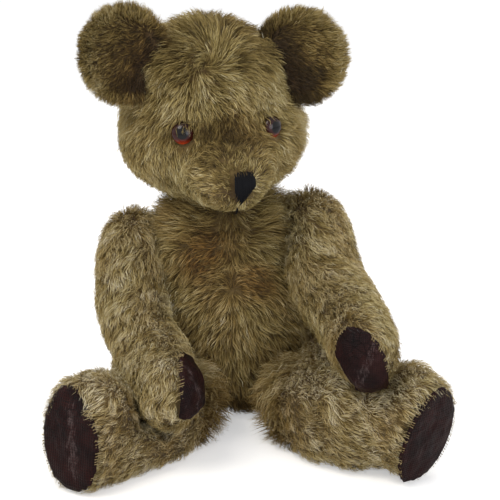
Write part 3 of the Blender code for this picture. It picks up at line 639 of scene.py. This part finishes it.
def dress_head(nap):
    """The face: short pile swept back from the nose, a whorl on the brow, full cheeks and crown, and painted
    shade round the eyes and between them.
    """
    left, front, up = head_axes()
    nose, skull = middle("nose_stitching"), middle("head_cover")
    eyes = (middle("eye_left") + middle("eye_right")) / 2
    brow = eyes + 0.060 * up - 0.018 * left + 0.002 * front
    from_nose = nap.places - (nose - 0.018 * front)
    from_brow = nap.places - brow
    out = unit(nap.places - skull)
    muzzle = nap.spot(nose, 0.060)
    nap.way = 0.8 * unit(nap.places - skull - 0.03 * up) * (1, 1, 0.4) - 0.55 * up
    nap.way = nap.way * (1 - muzzle)[:, None] + (2.0 * muzzle)[:, None] * unit(from_nose)
    whorl = unit(from_brow) + 0.7 * unit(np.cross(nap.normals, from_brow))
    nap.change(nap.spot(brow, 0.062), depth=0.06, hue=0.06, way=1.6 * whorl)
    top = fade(out @ up, 0.45, 0.85)
    nap.clump -= 0.12
    nap.length *= (0.93 + 0.24 * top) * (1 - 0.46 * muzzle)
    nap.lift += 0.15 * top - 0.10 * muzzle
    nap.depth -= 0.16 * top + 0.04 * muzzle - 0.03
    low = fade(-(out @ up), -0.15, 0.25) * (1 - muzzle)
    high = fade(out @ up, 0.35, 0.7)
    for word, way, full, under in (("left", 1, 0.9, 0.3), ("right", -1, -0.3, 0.8)):
        aside = way * (out @ left)
        nap.change(full * fade(aside, 0.30, 0.75) * low, longer=0.25, lift=0.12, way=0.9 * way * left)
        eye = middle("eye_" + word)
        # Around each eye the pile is shorter, and darker as painted shade round the eye.
        nap.change(nap.spot(eye, 0.019), longer=-0.45, depth=-0.10)
        lid = nap.spot(eye + 0.0095 * up + 0.001 * front, 0.0105)
        nap.change(lid, longer=1.5, lift=0.26, way=5.0 * (0.3 * front - up))
        nap.change(fade(aside, 0.35, 0.7) * high, longer=0.35, depth=-0.06)
        below_ear = nap.spot(middle("ear_" + word) - 0.040 * up, 0.034)
        nap.change(below_ear, longer=under, lift=0.12, way=1.2 * way * left)
    # Painted shade between the eyes, at the top of the muzzle: the pile there is darker and redder.
    painted_bridge_shade = nap.spot(eyes + 0.014 * front + 0.002 * up - 0.004 * left, 0.034)
    nap.change(painted_bridge_shade, depth=-0.36, hue=-0.22)
    nap.change(nap.spot(nose - 0.022 * up - 0.012 * front, 0.026), depth=-0.06)
    nap.mottle(0.08, 0.012, 0.08, 0.03, 11)


def bare_face(places, normals):
    """The face is bare under the eyes' and the nose's own pieces."""
    left, front, up = head_axes()
    keep = np.ones(len(places))
    for word in ("left", "right"):
        off = places - middle("eye_" + word) + 0.0030 * up
        keep *= fade(np.linalg.norm(off, axis=1), 0.0075, 0.0095)
    off = places - middle("nose_stitching")
    across, rise = off @ left, off @ up
    foot = np.interp(across / NOSE_HALF, *NOSE_FOOT)
    keep *= 1 - (np.abs(across) < 0.0078) * (rise > foot + 0.001) * (rise < 0.0115) * (off @ front > -0.02)
    return keep + 1e-6


def dress_torso(nap):
    """The chest and belly: combed down and out from the middle seam, worn red-brown in three patches, with
    painted shade under the head and low between the thighs.
    """
    low, high = (np.array(c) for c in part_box("torso_cover"))
    tall, centre = high[2] - low[2], (low + high) / 2
    off = nap.places - centre
    height = (nap.places[:, 2] - low[2]) / tall
    front = fade(-nap.normals[:, 1], 0.0, 0.4)
    side = np.tanh(off[:, 0] / 0.012)
    nap.way = np.stack((0.55 * side + 0.1, -0.1 * front, np.full_like(side, -0.85)), axis=1)
    burst = nap.spot(np.array((centre[0], low[1], low[2] + 0.62 * tall)), 0.050)
    nap.change(burst, way=1.1 * unit(off * (1, 0, 1) - (0, 0, 0.12 * tall)))
    shoulder = fade(height, 0.74, 0.92) * fade(np.abs(side), 0.6, 0.98)
    nap.change(shoulder, longer=1.1, lift=0.25, way=1.5 * side[:, None] * (1, 0, 0) + 1.2 * UP)
    flank = fade(np.abs(nap.normals[:, 0]), 0.5, 0.9) * (1 - shoulder)
    nap.change(flank, longer=0.35, lift=0.15)
    for place, up, size, worth in ((-0.024, 0.80, 0.030, 1.0), (0.017, 0.68, 0.026, 0.8),
                                   (-0.004, 0.90, 0.026, 0.5)):
        at = np.array((centre[0] + place, low[1] + 0.010, low[2] + up * tall))
        nap.change(worth * nap.spot(at, size) * front, longer=-0.45, depth=-0.08, hue=-0.72)
    nap.hue -= 0.15
    # Painted shade at the top of the torso, under the head.
    nap.change(fade(height, 0.70, 0.95), depth=-0.07)
    # Painted shade at the bottom of the belly, where it meets the thighs; lower down the pile is also
    # redder.
    nap.change(1 - fade(height, 0.10, 0.34), depth=-0.13)
    nap.change(1 - fade(height, 0.10, 0.40), hue=-0.14)
    nap.mottle(0.05, 0.014, 0.10, 0.025, 21)


def limb_frame(word, kind):
    """Where a limb hangs on the torso, and the middle of its pad."""
    joint, pad = {"arm": ("shoulder_", "paw_pad_"), "leg": ("hip_", "foot_pad_")}[kind]
    start = next(j["pos_m"] for j in frame["joints"] if j["name"] == joint + word)
    return np.array(start), middle(pad + word)


def dress_arm(word):
    def dress(nap):
        """An arm: combed from the shoulder to the paw and outward, short and pale beside the pad, lighter
        all over and on top as painted light, and darker underneath as painted shade.
        """
        start, pad = limb_frame(word, "arm")
        side = 1 if word == "left" else -1
        nap.way = np.tile(unit(pad - start), (len(nap.places), 1)) + 0.35 * np.array((side, 0, -0.4))
        near = nap.spot(pad, 0.040)
        nap.change(near, longer=-0.50, lift=-0.15, depth=0.13)
        top = nap.spot(start + (0.010 * side, 0, 0.024), 0.034)
        nap.change(top, longer=0.35, lift=0.20, way=1.2 * (0.7 * UP - (0.6 * side, 0, 0)))
        nap.change(fade(-side * nap.normals[:, 0], 0.3, 0.9) * (1 - near), longer=0.30)
        # Painted light on the upper side of the arm and painted shade on its underside.
        nap.change(fade(nap.normals[:, 2], -0.2, 0.7), depth=0.06)
        nap.change(fade(-nap.normals[:, 2], 0.1, 0.8), depth=-0.12)
        nap.lift -= 0.13
        # Painted light: each arm's pile is lightened all over, the right arm more than the left.
        nap.depth += 0.06 if word == "left" else 0.09
        nap.hue -= 0.09
        nap.mottle(0.08, 0.010, 0.08, 0.025, 31)
    return dress


def dress_leg(word):
    def dress(nap):
        """A leg: combed from the hip to the sole and long at the fork; painted light makes it pale on top
        and lighter all over, and painted shade darkens its inner side and the fork, which are also redder
        brown.
        """
        start, pad = limb_frame(word, "leg")
        side = 1 if word == "left" else -1
        nap.wild = 0.10
        nap.way = np.tile(unit(pad - start), (len(nap.places), 1))
        near = nap.spot(pad, 0.050)
        rim = fade(nap.spot(pad, 0.052) * fade(nap.normals[:, 2], -0.2, 0.5), 0, 0.4)
        nap.length *= 1 - 0.40 * near + 0.10 * rim
        nap.change(rim, lift=0.12)
        nap.change(fade(nap.spot(pad, 0.046), 0, 0.5), lift=0.12)
        # At the fork the pile is long, redder, and darker as painted shade between the legs.
        fork = nap.spot(np.array((start[0] * 0.52, start[1] - 0.070, 0.038)), 0.060)
        nap.change(fork, longer=1.2, lift=0.22, depth=-0.18, hue=-0.12,
                   way=2.2 * np.array((-side, -0.30, 0.05)))
        # Painted light on the upper side of the leg.
        nap.change(fade(nap.normals[:, 2], 0.1, 0.8), depth=0.07)
        # On the inner side, where the legs face each other, the pile is redder and darker as painted shade.
        inner = fade(-side * nap.normals[:, 0], 0.3, 0.9) * (1 - fade(nap.normals[:, 2], 0.2, 0.6))
        nap.change(inner, depth=-0.07, hue=-0.20)
        nap.lift -= 0.13
        # Painted light: the legs' pile is lightened all over, to stand in for the fill light on them.
        nap.depth += 0.22
        nap.hue -= 0.08
        nap.mottle(0.08, 0.011, 0.08, 0.025, 41)
    return dress


def off_the_pad(node, places, normals):
    """Which roots lie neither under an oilcloth pad nor right against its edge."""
    tree, grown = tree_of(frame["nodes"][node]), []
    for place, normal in zip(places, normals):
        place, normal = Vector(place), Vector(normal)
        under = tree.ray_cast(place, normal, 0.009)[0] is not None
        grown.append(not under and tree.find_nearest(place)[3] > PAD_ROOM)
    return np.array(grown)


# ---- Ears ---------------------------------------------------------------------------------------

def ear_axes(word):
    """Middle, front and outward way of one ear."""
    points = corners(frame["nodes"]["ear_" + word].data)
    centre = points.mean(0)
    _, _, ways = np.linalg.svd(points - centre, full_matrices=False)
    front = ways[2] if ways[2][1] < 0 else -ways[2]
    skull = middle("head_cover")
    return centre, front, unit(across_normal(centre - skull, front))


def cupped_ear(word, settings):
    """One ear of doubled cloth, cupped forward."""
    node = "ear_" + word
    piece = relaxed(cloth_mesh(node + "_cloth", frame["nodes"][node], "ear_ground", settings.ear_voxel), 6)
    piece.data.shade_smooth()
    return joined(piece, "head", "ear_mohair", node)


def dress_ear(word):
    def dress(nap):
        """An ear: long pale pile over the rim, and painted shade, dark brown, where the cup meets the head.
        """
        centre, front, outward = ear_axes(word)
        off = across_normal(nap.places - centre, front)
        reach = np.linalg.norm(off, axis=1)
        facing = nap.normals @ front
        rim = fade(reach, 0.022, 0.034)
        inside = fade(facing, 0.1, 0.6) * (1 - rim)
        far = (off @ outward) / EAR_REACH
        nap.way = unit(off) * (1 - 0.85 * inside)[:, None] + 0.45 * outward - 0.40 * UP
        nap.way += (0.5 * rim)[:, None] * front
        nap.length = 0.0080 + 0.0016 * rim - 0.0006 * inside
        nap.lift = 0.40 + 0.20 * rim - 0.05 * inside
        if word == "left":
            far += 0.2 * (off[:, 2] / EAR_REACH)
        cup = np.maximum(inside, 0.7 * rim * (facing > 0))
        # Painted shade in the cup, next to the head.
        crease_shade = cup * (1 - fade(far, -0.75, 0.45))
        # How strong the painted shade is on each ear: strongest on the left ear.
        dark = 0.42 if word == "right" else 1.0
        nap.depth = 0.42 + 0.06 * rim - 0.05 * inside - dark * crease_shade
        nap.hue = 0.68 + 0.12 * rim - 0.06 * inside - 0.60 * crease_shade
        nap.depth += 0.06 * ripple(nap.places, 0.010, 51)
    return dress


def thin_lining(word):
    def keep(places, normals):
        """An ear's pile is thickest on the rim and a little thinner in the cup."""
        centre, front, _ = ear_axes(word)
        reach = np.linalg.norm(across_normal(places - centre, front), axis=1)
        inside = fade(normals @ front, 0.1, 0.6) * (1 - fade(reach, 0.020, 0.030))
        return 1.0 + 1.2 * fade(reach, 0.026, 0.034) - 0.15 * inside
    return keep


# ---- Eyes, nose and mouth -----------------------------------------------------------------------

def glass_eye(word, settings):
    """A round domed eye, its map holding the distance from its middle and the height up its face."""
    node = frame["nodes"]["eye_" + word]
    points = corners(node.data)
    centre = points.mean(0)
    front = head_axes()[1]
    _, _, ways = np.linalg.svd(points - centre, full_matrices=False)
    facing = ways[2] if ways[2] @ front > 0 else -ways[2]
    across = unit(np.cross(UP, facing))
    rise = np.cross(facing, across)
    off = points - centre
    radius = np.abs(off @ across).max() * settings.eye_size
    back = (off @ facing).min()
    height = (off @ facing).max() - back
    turns, rings = 48, 16
    vertices, maps = [], []
    for ring in range(rings + 1):
        lean = ring / rings * math.pi * 0.60
        out, tall = math.sin(lean), math.cos(lean)
        stand = back + height * (0.30 + 0.72 * tall)
        for turn in range(turns):
            angle = turn / turns * 2 * math.pi
            side = radius * out * math.cos(angle)
            high = radius * out * math.sin(angle)
            vertices.append(centre + side * across + high * rise + stand * facing)
            maps.append((min(out, 1.0), 0.5 + 0.5 * out * math.sin(angle)))
    faces = [(r * turns + t, r * turns + (t + 1) % turns, (r + 1) * turns + (t + 1) % turns,
              (r + 1) * turns + t) for r in range(rings) for t in range(turns)]
    faces.append(tuple(rings * turns + t for t in reversed(range(turns))))
    piece = shown("glass_eye_" + word, vertices, faces, bpy.data.materials["amber_glass"])
    mapped(piece, "eye", maps)
    closed_up(piece)
    return joined(piece, "head", "glass", "eye_" + word)


def mapped(piece, name, places):
    """Gives each corner of a mesh its place in a new map."""
    layer = piece.data.uv_layers.new(name=name)
    for loop in piece.data.loops:
        layer.data[loop.index].uv = places[loop.vertex_index]


def laid(paths, radius, sides, flat, lead):
    """Vertices and faces of threads along paths, flattened along lead, with narrow closed ends."""
    vertices, faces = [], []
    for path in paths:
        path = np.asarray(path, float)
        along = unit(np.gradient(path, axis=0))
        side = unit(np.cross(along, lead) + 1e-9)
        rise = np.cross(side, along)
        ends = np.sin(np.clip(np.linspace(0, 1, len(path)), 0.04, 0.96) * math.pi) ** 0.35
        first = len(vertices)
        for place, s, r, e in zip(path, side, rise, ends):
            for k in range(sides):
                angle = 2 * math.pi * k / sides
                vertices.append(place + e * radius * (math.cos(angle) * s + flat * math.sin(angle) * r))
        for row in range(len(path) - 1):
            for k in range(sides):
                a, b = first + row * sides + k, first + row * sides + (k + 1) % sides
                faces.append((a, b, b + sides, a + sides))
        faces.append(tuple(first + k for k in reversed(range(sides))))
        faces.append(tuple(first + (len(path) - 1) * sides + k for k in range(sides)))
    return vertices, faces


def stitched_nose(settings):
    """The nose: black thread laid in upright satin stitches, long in the middle and short at the sides."""
    left, front, up = head_axes()
    solid, centre = tree_of(frame["nodes"]["nose_stitching"]), middle("nose_stitching")
    rng = np.random.default_rng(61)
    paths, count = [], settings.stitches
    for k in range(count):
        across = (k + 0.5) / count * 2 - 1
        bottom = np.interp(across, *NOSE_FOOT) - 0.0006 * rng.random()
        top = 0.0130 - 0.0030 * across**2 + 0.0012 * rng.random()
        line = []
        for rise in np.linspace(bottom, top, 14):
            start = centre + (across * NOSE_HALF + 0.0004 * rng.normal() * (rise > top - 0.003)) * left
            start = start + rise * up + 0.05 * front
            place = struck(solid, start, -front, 0.08)
            if place is not None:
                line.append(place + THREAD_LIFT * front)
        if len(line) > 5:
            for end in (0, -1):
                line[end] = line[end] - THREAD_SUNK * front
            paths.append(np.array(line) + 0.00012 * rng.normal(size=3))
    shape = laid(paths, NOSE_THREAD, 8, 0.8, front)
    piece = shown("nose_threads", *shape, bpy.data.materials["black_thread"])
    return joined(piece, "head", "thread", "nose_stitching")


def stitched_mouth():
    """The mouth: two short strands of the same thread below the nose."""
    left, front, up = head_axes()
    solid, centre = tree_of(frame["nodes"]["mouth_stitch"]), middle("mouth_stitch")
    paths = []
    for shift in (-0.0003, 0.0004):
        path = []
        for t in np.linspace(0, 1, 7):
            start = centre + (shift + 0.0004 * t) * left + (0.0030 - 0.0060 * t) * up + 0.03 * front
            place = struck(solid, start, -front, 0.06)
            if place is not None:
                path.append(place + (0.0003 + 0.0006 * math.sin(t * math.pi)) * front)
        paths.append(path)
    shape = laid(paths, MOUTH_THREAD, 6, 1.0, front)
    piece = shown("mouth_threads", *shape, bpy.data.materials["black_thread"])
    return joined(piece, "head", "thread", "mouth_stitch")


# ---- Oilcloth pads ------------------------------------------------------------------------------

def body_of(node):
    """The limb that a pad is sewn to."""
    return node.replace("paw_pad", "arm").replace("foot_pad", "leg")


def pad_shape(node):
    """Middle, normal, across and up ways of a pad, and how far its edge is at each angle."""
    points = corners(frame["nodes"][node].data)
    centre = points.mean(0)
    normal = np.linalg.svd(points - centre, full_matrices=False)[2][2]
    if (centre - middle(body_of(node) + "_cover")) @ normal < 0:
        normal = -normal
    rise = unit(across_normal(UP, normal))
    across = np.cross(rise, normal)
    off = points - centre
    hull = outline(np.stack((off @ across, off @ rise), axis=1))
    angles = np.arange(72) / 72 * 2 * math.pi
    reach = np.array([edge_reach(hull, (math.cos(angle), math.sin(angle))) for angle in angles])
    return centre, normal, across, rise, angles, reach, tree_of(frame["nodes"][node])


def outline(flat):
    """The convex outline of flat points, in order."""
    order = flat[np.lexsort((flat[:, 1], flat[:, 0]))]
    halves = []
    for points in (order, order[::-1]):
        half = []
        for point in points:
            while len(half) > 1 and np.cross(half[-1] - half[-2], point - half[-2]) <= 0:
                half.pop()
            half.append(point)
        halves.append(half[:-1])
    return np.array(halves[0] + halves[1])


def edge_reach(hull, way):
    """How far the outline is from its middle along one way, each edge drawn on back by its own length."""
    best = 0.0
    for a, b in zip(hull, np.roll(hull, -1, axis=0)):
        side = b - a
        base = way[0] * -side[1] + way[1] * side[0]
        if abs(base) < 1e-12:
            continue
        far = (a[0] * -side[1] + a[1] * side[0]) / base
        along = (way[0] * a[1] - way[1] * a[0]) / base
        if abs(along) <= 1 + 1e-6:
            best = max(best, far)
    return best


def pad_face(node, seed):
    """The oilcloth facing: a fine sheet over the stuffing, creased, with a turned-in edge."""
    centre, normal, across, rise, angles, reach, solid = pad_shape(node)
    rings, turns, size = 34, len(angles), reach.max()
    vertices, maps = [], []
    for ring in range(rings + 1):
        share = (ring / rings) ** 0.85
        for angle, far in zip(angles, reach):
            way = math.cos(angle) * across + math.sin(angle) * rise
            out = share * far * 0.995
            place = struck(solid, centre + out * way + 0.03 * normal, -normal, 0.06)
            if place is None:
                place = vertices[-turns] + 0.02 * far * way
            tuck = PAD_TUCK * max(share - 0.90, 0) / 0.10
            vertices.append(place + (PAD_LIFT - tuck) * normal)
            flat = np.array((math.cos(angle), math.sin(angle))) * out
            maps.append(tuple(flat / size * 0.48 + 0.5))
    points = np.array(vertices)
    creases = 0.00045 * ripple(points, 0.010, seed) - 0.00035 * np.abs(ripple(points, 0.006, seed + 1))
    hold = np.repeat(1 - (np.arange(rings + 1) / rings) ** 6, turns)
    points += (creases * hold)[:, None] * normal
    off = points - centre
    flat = np.stack((off @ across, off @ rise), axis=1) / size
    starts = [(ring * turns, turn, (turn + 1) % turns) for ring in range(rings) for turn in range(turns)]
    faces = [(row + a, row + turns + a, row + turns + b, row + b) for row, a, b in starts]
    piece = shown(node + "_face", points, faces, bpy.data.materials["worn_oilcloth"])
    mapped(piece, "pad", maps)
    for name, values in zip(("rubbed", "cracked"), worn_places(node, flat)):
        layer = piece.data.attributes.new(name, "FLOAT", "POINT")
        layer.data.foreach_set("value", values.astype(np.float32))
    closed_up(piece)
    return joined(piece, body_of(node), "oilcloth", node)


def worn_places(node, flat):
    """Where a pad is rubbed pale and where it is cracked, over its face from -1 to 1."""
    x, y = flat[:, 0], flat[:, 1]
    at, slant, wide, worth, crack = PAD_WEAR[node]
    rubbed = worth * np.exp(-((x - at - slant * y) / wide) ** 2) * fade(1 - np.abs(y), 0.05, 0.5)
    cracked = fade(crack * (y - 0.6 * x), -0.1, 0.4)
    return rubbed, cracked


def pad_stitches(node, settings, seed):
    """Whip stitches that hold a pad's edge to the mohair."""
    centre, normal, across, rise, angles, reach, solid = pad_shape(node)
    cloth = tree_of(bpy.data.objects[body_of(node) + "_cloth"])
    rng = np.random.default_rng(seed)
    closed = np.append(angles, 2 * math.pi), np.append(reach, reach[0])
    turns = np.linspace(0, 2 * math.pi, 400)
    line = np.interp(turns, *closed)
    points = np.stack((np.cos(turns) * line, np.sin(turns) * line), axis=1)
    run = np.append(0, np.cumsum(np.linalg.norm(np.diff(points, axis=0), axis=1)))

    def edge(at):
        """The place on the pad's edge at a length along it."""
        return np.array([np.interp(at % run[-1], run, points[:, i]) for i in range(2)])

    count = int(run[-1] / settings.stitch_pitch)
    paths = []
    for k in range(count):
        at = (k + rng.uniform(-0.2, 0.2)) / count * run[-1]
        place = edge(at)
        ahead = np.array([edge(at + 0.0012 + 0.0008 * rng.random())[i] for i in range(2)])
        inner = place * (1 - STITCH_IN / np.linalg.norm(place))
        outer = ahead * (1 + STITCH_OUT / np.linalg.norm(ahead))
        path = []
        for t in np.linspace(0, 1, 6):
            flat = inner + (outer - inner) * t
            start = centre + flat[0] * across + flat[1] * rise + 0.03 * normal
            place = struck(solid, start, -normal, 0.05)
            if place is None:
                place = struck(cloth, start, -normal, 0.06)
            if place is not None:
                path.append(place + normal * (THREAD_LIFT + 0.0006 * math.sin(t * math.pi)))
        if len(path) > 3:
            depth = np.array([(p - centre) @ normal for p in path])
            paths.append([p + (max(depth[0] - d, 0) * 0.6) * normal for p, d in zip(path, depth)])
    shape = laid(paths, PAD_THREAD, 5, 1.0, normal)
    piece = shown(node + "_stitches", *shape, bpy.data.materials["straw_thread"])
    return joined(piece, body_of(node), "thread")


# ---- Stage --------------------------------------------------------------------------------------

def studio_white():
    """Matt studio paper that keeps the bear's shadow and reads as white behind it."""
    made = bpy.data.materials.new("studio_white")
    made.use_nodes = True
    tree = made.node_tree
    tree.nodes.clear()
    out = add(tree, "ShaderNodeOutputMaterial")
    paper = add(tree, "ShaderNodeBsdfDiffuse", {"Color": linear("#F4F3F1")})
    glow = add(tree, "ShaderNodeEmission", {"Color": linear("#FFFFFF"), "Strength": 0.45})
    sight = add(tree, "ShaderNodeLightPath")
    dark = add(tree, "ShaderNodeMixShader", _0=sight.outputs["Is Camera Ray"])
    both = add(tree, "ShaderNodeAddShader", _0=paper.outputs[0], _1=glow.outputs[0])
    tree.links.new(paper.outputs[0], dark.inputs[1])
    tree.links.new(both.outputs[0], dark.inputs[2])
    tree.links.new(dark.outputs[0], out.inputs["Surface"])
    return made


def white_world(settings):
    """Even light from all round, which the camera and reflections see as white."""
    world = bpy.data.worlds.new("studio")
    bpy.context.scene.world = world
    world.use_nodes = True
    tree = world.node_tree
    tree.nodes.clear()
    out = add(tree, "ShaderNodeOutputWorld")
    seen = add(tree, "ShaderNodeBackground", {"Color": linear("#FFFFFF"), "Strength": 1.0})
    soft = add(tree, "ShaderNodeBackground", {"Color": linear("#F3F5FA"), "Strength": settings.sky})
    sight = add(tree, "ShaderNodeLightPath")
    first = add(tree, "ShaderNodeMath", {"operation": "MAXIMUM"}, _0=sight.outputs["Is Camera Ray"],
                _1=sight.outputs["Is Glossy Ray"])
    either = add(tree, "ShaderNodeMath", {"operation": "MAXIMUM"}, _0=first.outputs[0],
                 _1=sight.outputs["Is Transmission Ray"])
    mix = add(tree, "ShaderNodeMixShader", _0=either.outputs[0], _1=soft.outputs[0], _2=seen.outputs[0])
    tree.links.new(mix.outputs[0], out.inputs["Surface"])


def aimed(made, place, way):
    """Stands a lamp or the camera at a place and turns it to face a way."""
    made.location = place
    made.rotation_mode = "QUATERNION"
    made.rotation_quaternion = Vector(way).to_track_quat("-Z", "Y")
    return made


def lamp(name, place, target, size, power, code):
    """A round soft lamp that shines at a target."""
    light = bpy.data.lights.new(name, "AREA")
    light.shape, light.size, light.energy = "DISK", size, power
    light.color = linear(code)[:3]
    aimed(linked(name, light), place, Vector(target) - Vector(place))


# ---- The add-on ---------------------------------------------------------------------------------

class BearCloth(PropertyGroup):
    """Sizes of the sewn and stuffed cloth."""

    voxel: FloatProperty(name="Cloth Mesh", description="Spacing of the cloth's mesh", default=0.004,
                         min=0.003, max=0.008, subtype="DISTANCE", unit="LENGTH")
    ear_voxel: FloatProperty(name="Ear Mesh", description="Spacing of the ears' mesh", default=0.0018,
                             min=0.001, max=0.004, subtype="DISTANCE", unit="LENGTH")
    pressure: FloatProperty(name="Filling", description="How hard the stuffing presses", default=4.0,
                            min=0.0, max=10.0)
    swell: FloatProperty(name="Swell", description="How far the cloth may be pressed out", default=0.0030,
                         min=0.0, max=0.016, subtype="DISTANCE", unit="LENGTH")
    eye_size: FloatProperty(name="Eye Size", description="Size of the glass against its seat", default=1.10,
                            min=0.8, max=1.3)
    stitches: IntProperty(name="Nose Stitches", description="How many upright stitches the nose has",
                          default=17, min=4, max=30)
    stitch_pitch: FloatProperty(name="Stitch Pitch", description="From one whip stitch to the next",
                                default=0.0023, min=0.001, max=0.01, subtype="DISTANCE", unit="LENGTH")


class BearPile(PropertyGroup):
    """How many hairs each part has."""

    head: IntProperty(name="Head", description="Hairs on the head", default=62000, min=100, max=66000)
    ear: IntProperty(name="Ear", description="Hairs on each ear", default=16000, min=100, max=66000)
    torso: IntProperty(name="Torso", description="Hairs on the torso", default=46000, min=100, max=66000)
    arm: IntProperty(name="Arm", description="Hairs on each arm", default=32500, min=100, max=66000)
    leg: IntProperty(name="Leg", description="Hairs on each leg", default=40500, min=100, max=66000)


class BearStudio(PropertyGroup):
    """The light and the camera."""

    sky: FloatProperty(name="Sky", description="Strength of the even light from all round", default=0.70,
                       min=0.0, max=3.0)
    key: FloatProperty(name="Key Lamp", description="Power of the large lamp above", default=14.0,
                       min=0.0, max=100.0, unit="POWER")
    camera: FloatVectorProperty(name="Camera", description="Where the camera stands", size=3,
                                default=(0.0006, -1.2141, 0.5), subtype="XYZ", unit="LENGTH")
    lens: FloatProperty(name="Lens", description="Focal length in millimetres", default=114.3,
                        min=20, max=300)


class BEAR_OT_materials(Operator):
    """Make the mohair, oilcloth, glass, thread, board and steel"""

    bl_idname = "bear.materials"
    bl_label = "Materials"

    def execute(self, context):
        mohair_pile()
        mohair_ground()
        mohair_ground("ear_ground", "#5A4426", "#35260F")
        oilcloth()
        twisted_thread("black_thread", "#121216", "#040405", 0.5)
        twisted_thread("straw_thread", "#B5A277", "#8A754A", 0.65)
        amber_glass()
        board, steel = pressed_board(), dull_steel()
        for name, node in frame["nodes"].items():
            if "_disc_" in name:
                node.material_slots[0].material = board
            elif "washer" in name or name.endswith("_pin") or "shank" in name:
                node.material_slots[0].material = steel
        return {"FINISHED"}


class BEAR_OT_cloth(Operator):
    """Sew and fill the head, the torso, the arms and the legs"""

    bl_idname = "bear.cloth"
    bl_label = "Cloth Bodies"

    def execute(self, context):
        for name in BODIES:
            sewn_body(name, context.scene.bear_cloth)
        return {"FINISHED"}


class BEAR_OT_ears(Operator):
    """Sew the two cupped ears"""

    bl_idname = "bear.ears"
    bl_label = "Ears"

    def execute(self, context):
        for word in ("left", "right"):
            cupped_ear(word, context.scene.bear_cloth)
        return {"FINISHED"}


class BEAR_OT_face(Operator):
    """Set the glass eyes and stitch the nose and mouth"""

    bl_idname = "bear.face"
    bl_label = "Face"

    def execute(self, context):
        for word in ("left", "right"):
            glass_eye(word, context.scene.bear_cloth)
        stitched_nose(context.scene.bear_cloth)
        stitched_mouth()
        return {"FINISHED"}


class BEAR_OT_pads(Operator):
    """Face the paws and soles with oilcloth and stitch them round"""

    bl_idname = "bear.pads"
    bl_label = "Paws and Soles"

    def execute(self, context):
        for number, node in enumerate(("paw_pad_left", "paw_pad_right", "foot_pad_left", "foot_pad_right")):
            pad_face(node, 70 + 5 * number)
            pad_stitches(node, context.scene.bear_cloth, 90 + number)
        return {"FINISHED"}


class BEAR_OT_pile(Operator):
    """Grow the worn mohair pile on every cloth body"""

    bl_idname = "bear.pile"
    bl_label = "Pile"

    def execute(self, context):
        hairs, cloth = context.scene.bear_pile, bpy.data.objects
        pile("head_pile", cloth["head_cloth"], "head", hairs.head, dress_head, bare_face, 101)
        pile("torso_pile", cloth["torso_cloth"], "torso", hairs.torso, dress_torso, even, 102)
        for number, word in enumerate(("left", "right")):
            pile("ear_%s_pile" % word, cloth["ear_%s_cloth" % word], "head", hairs.ear, dress_ear(word),
                 thin_lining(word), 110 + number, "ear_mohair", lump=6.0)
            pile("arm_%s_pile" % word, cloth["arm_%s_cloth" % word], "arm_" + word, hairs.arm,
                 dress_arm(word), even, 120 + number, pad="paw_pad_" + word)
            pile("leg_%s_pile" % word, cloth["leg_%s_cloth" % word], "leg_" + word, hairs.leg,
                 dress_leg(word), even, 130 + number, pad="foot_pad_" + word)
        return {"FINISHED"}


class BEAR_OT_stage(Operator):
    """Lay the floor and set the light and the camera"""

    bl_idname = "bear.stage"
    bl_label = "Stage"

    def execute(self, context):
        settings = context.scene.bear_studio
        ways = ((-1, -1), (1, -1), (1, 1), (-1, 1))
        floor = shown("floor", [(FLOOR_REACH * x, FLOOR_REACH * y, 0) for x, y in ways], [(0, 1, 2, 3)],
                      studio_white(), False)
        white_world(settings)
        lamp("key", (-0.7, -0.9, 1.5), (0, 0, 0.15), 0.9, settings.key, "#FFFAF0")
        lamp("fill", (0.9, -1.3, 0.45), (0, 0, 0.12), 1.1, settings.key * 0.6, "#F7F8FF")
        lamp("back", (0.2, 1.2, 1.3), (0, 0, 0.2), 0.8, settings.key * 0.5, "#FFFFFF")
        camera = bpy.data.cameras.new("camera")
        camera.lens, camera.sensor_width = settings.lens, 36.0
        context.scene.camera = aimed(linked("camera", camera), settings.camera, SIGHT)
        context.scene.view_settings.view_transform = "Standard"
        return {"FINISHED"}


class BEAR_PT_panel(Panel):
    """Lists the bear's parts and their settings"""

    bl_idname = "BEAR_PT_panel"
    bl_label = "Bear"
    bl_space_type = "VIEW_3D"
    bl_region_type = "UI"
    bl_category = "Bear"

    def draw(self, context):
        for group in (context.scene.bear_cloth, context.scene.bear_pile, context.scene.bear_studio):
            box = self.layout.box()
            for name in group.__annotations__:
                box.prop(group, name)
        for operator in OPERATORS:
            self.layout.operator(operator.bl_idname)


OPERATORS = (BEAR_OT_materials, BEAR_OT_cloth, BEAR_OT_ears, BEAR_OT_face, BEAR_OT_pads, BEAR_OT_pile,
             BEAR_OT_stage)
CLASSES = (BearCloth, BearPile, BearStudio, *OPERATORS, BEAR_PT_panel)


def register():
    for made in CLASSES:
        bpy.utils.register_class(made)
    bpy.types.Scene.bear_cloth = PointerProperty(type=BearCloth)
    bpy.types.Scene.bear_pile = PointerProperty(type=BearPile)
    bpy.types.Scene.bear_studio = PointerProperty(type=BearStudio)


def unregister():
    for name in ("bear_cloth", "bear_pile", "bear_studio"):
        delattr(bpy.types.Scene, name)
    for made in reversed(CLASSES):
        bpy.utils.unregister_class(made)


def main():
    register()
    bpy.ops.bear.materials()
    bpy.ops.bear.cloth()
    bpy.ops.bear.ears()
    bpy.ops.bear.face()
    bpy.ops.bear.pads()
    bpy.ops.bear.pile()
    bpy.ops.bear.stage()
    bpy.context.view_layer.update()


if __name__ == "__main__":
    main()
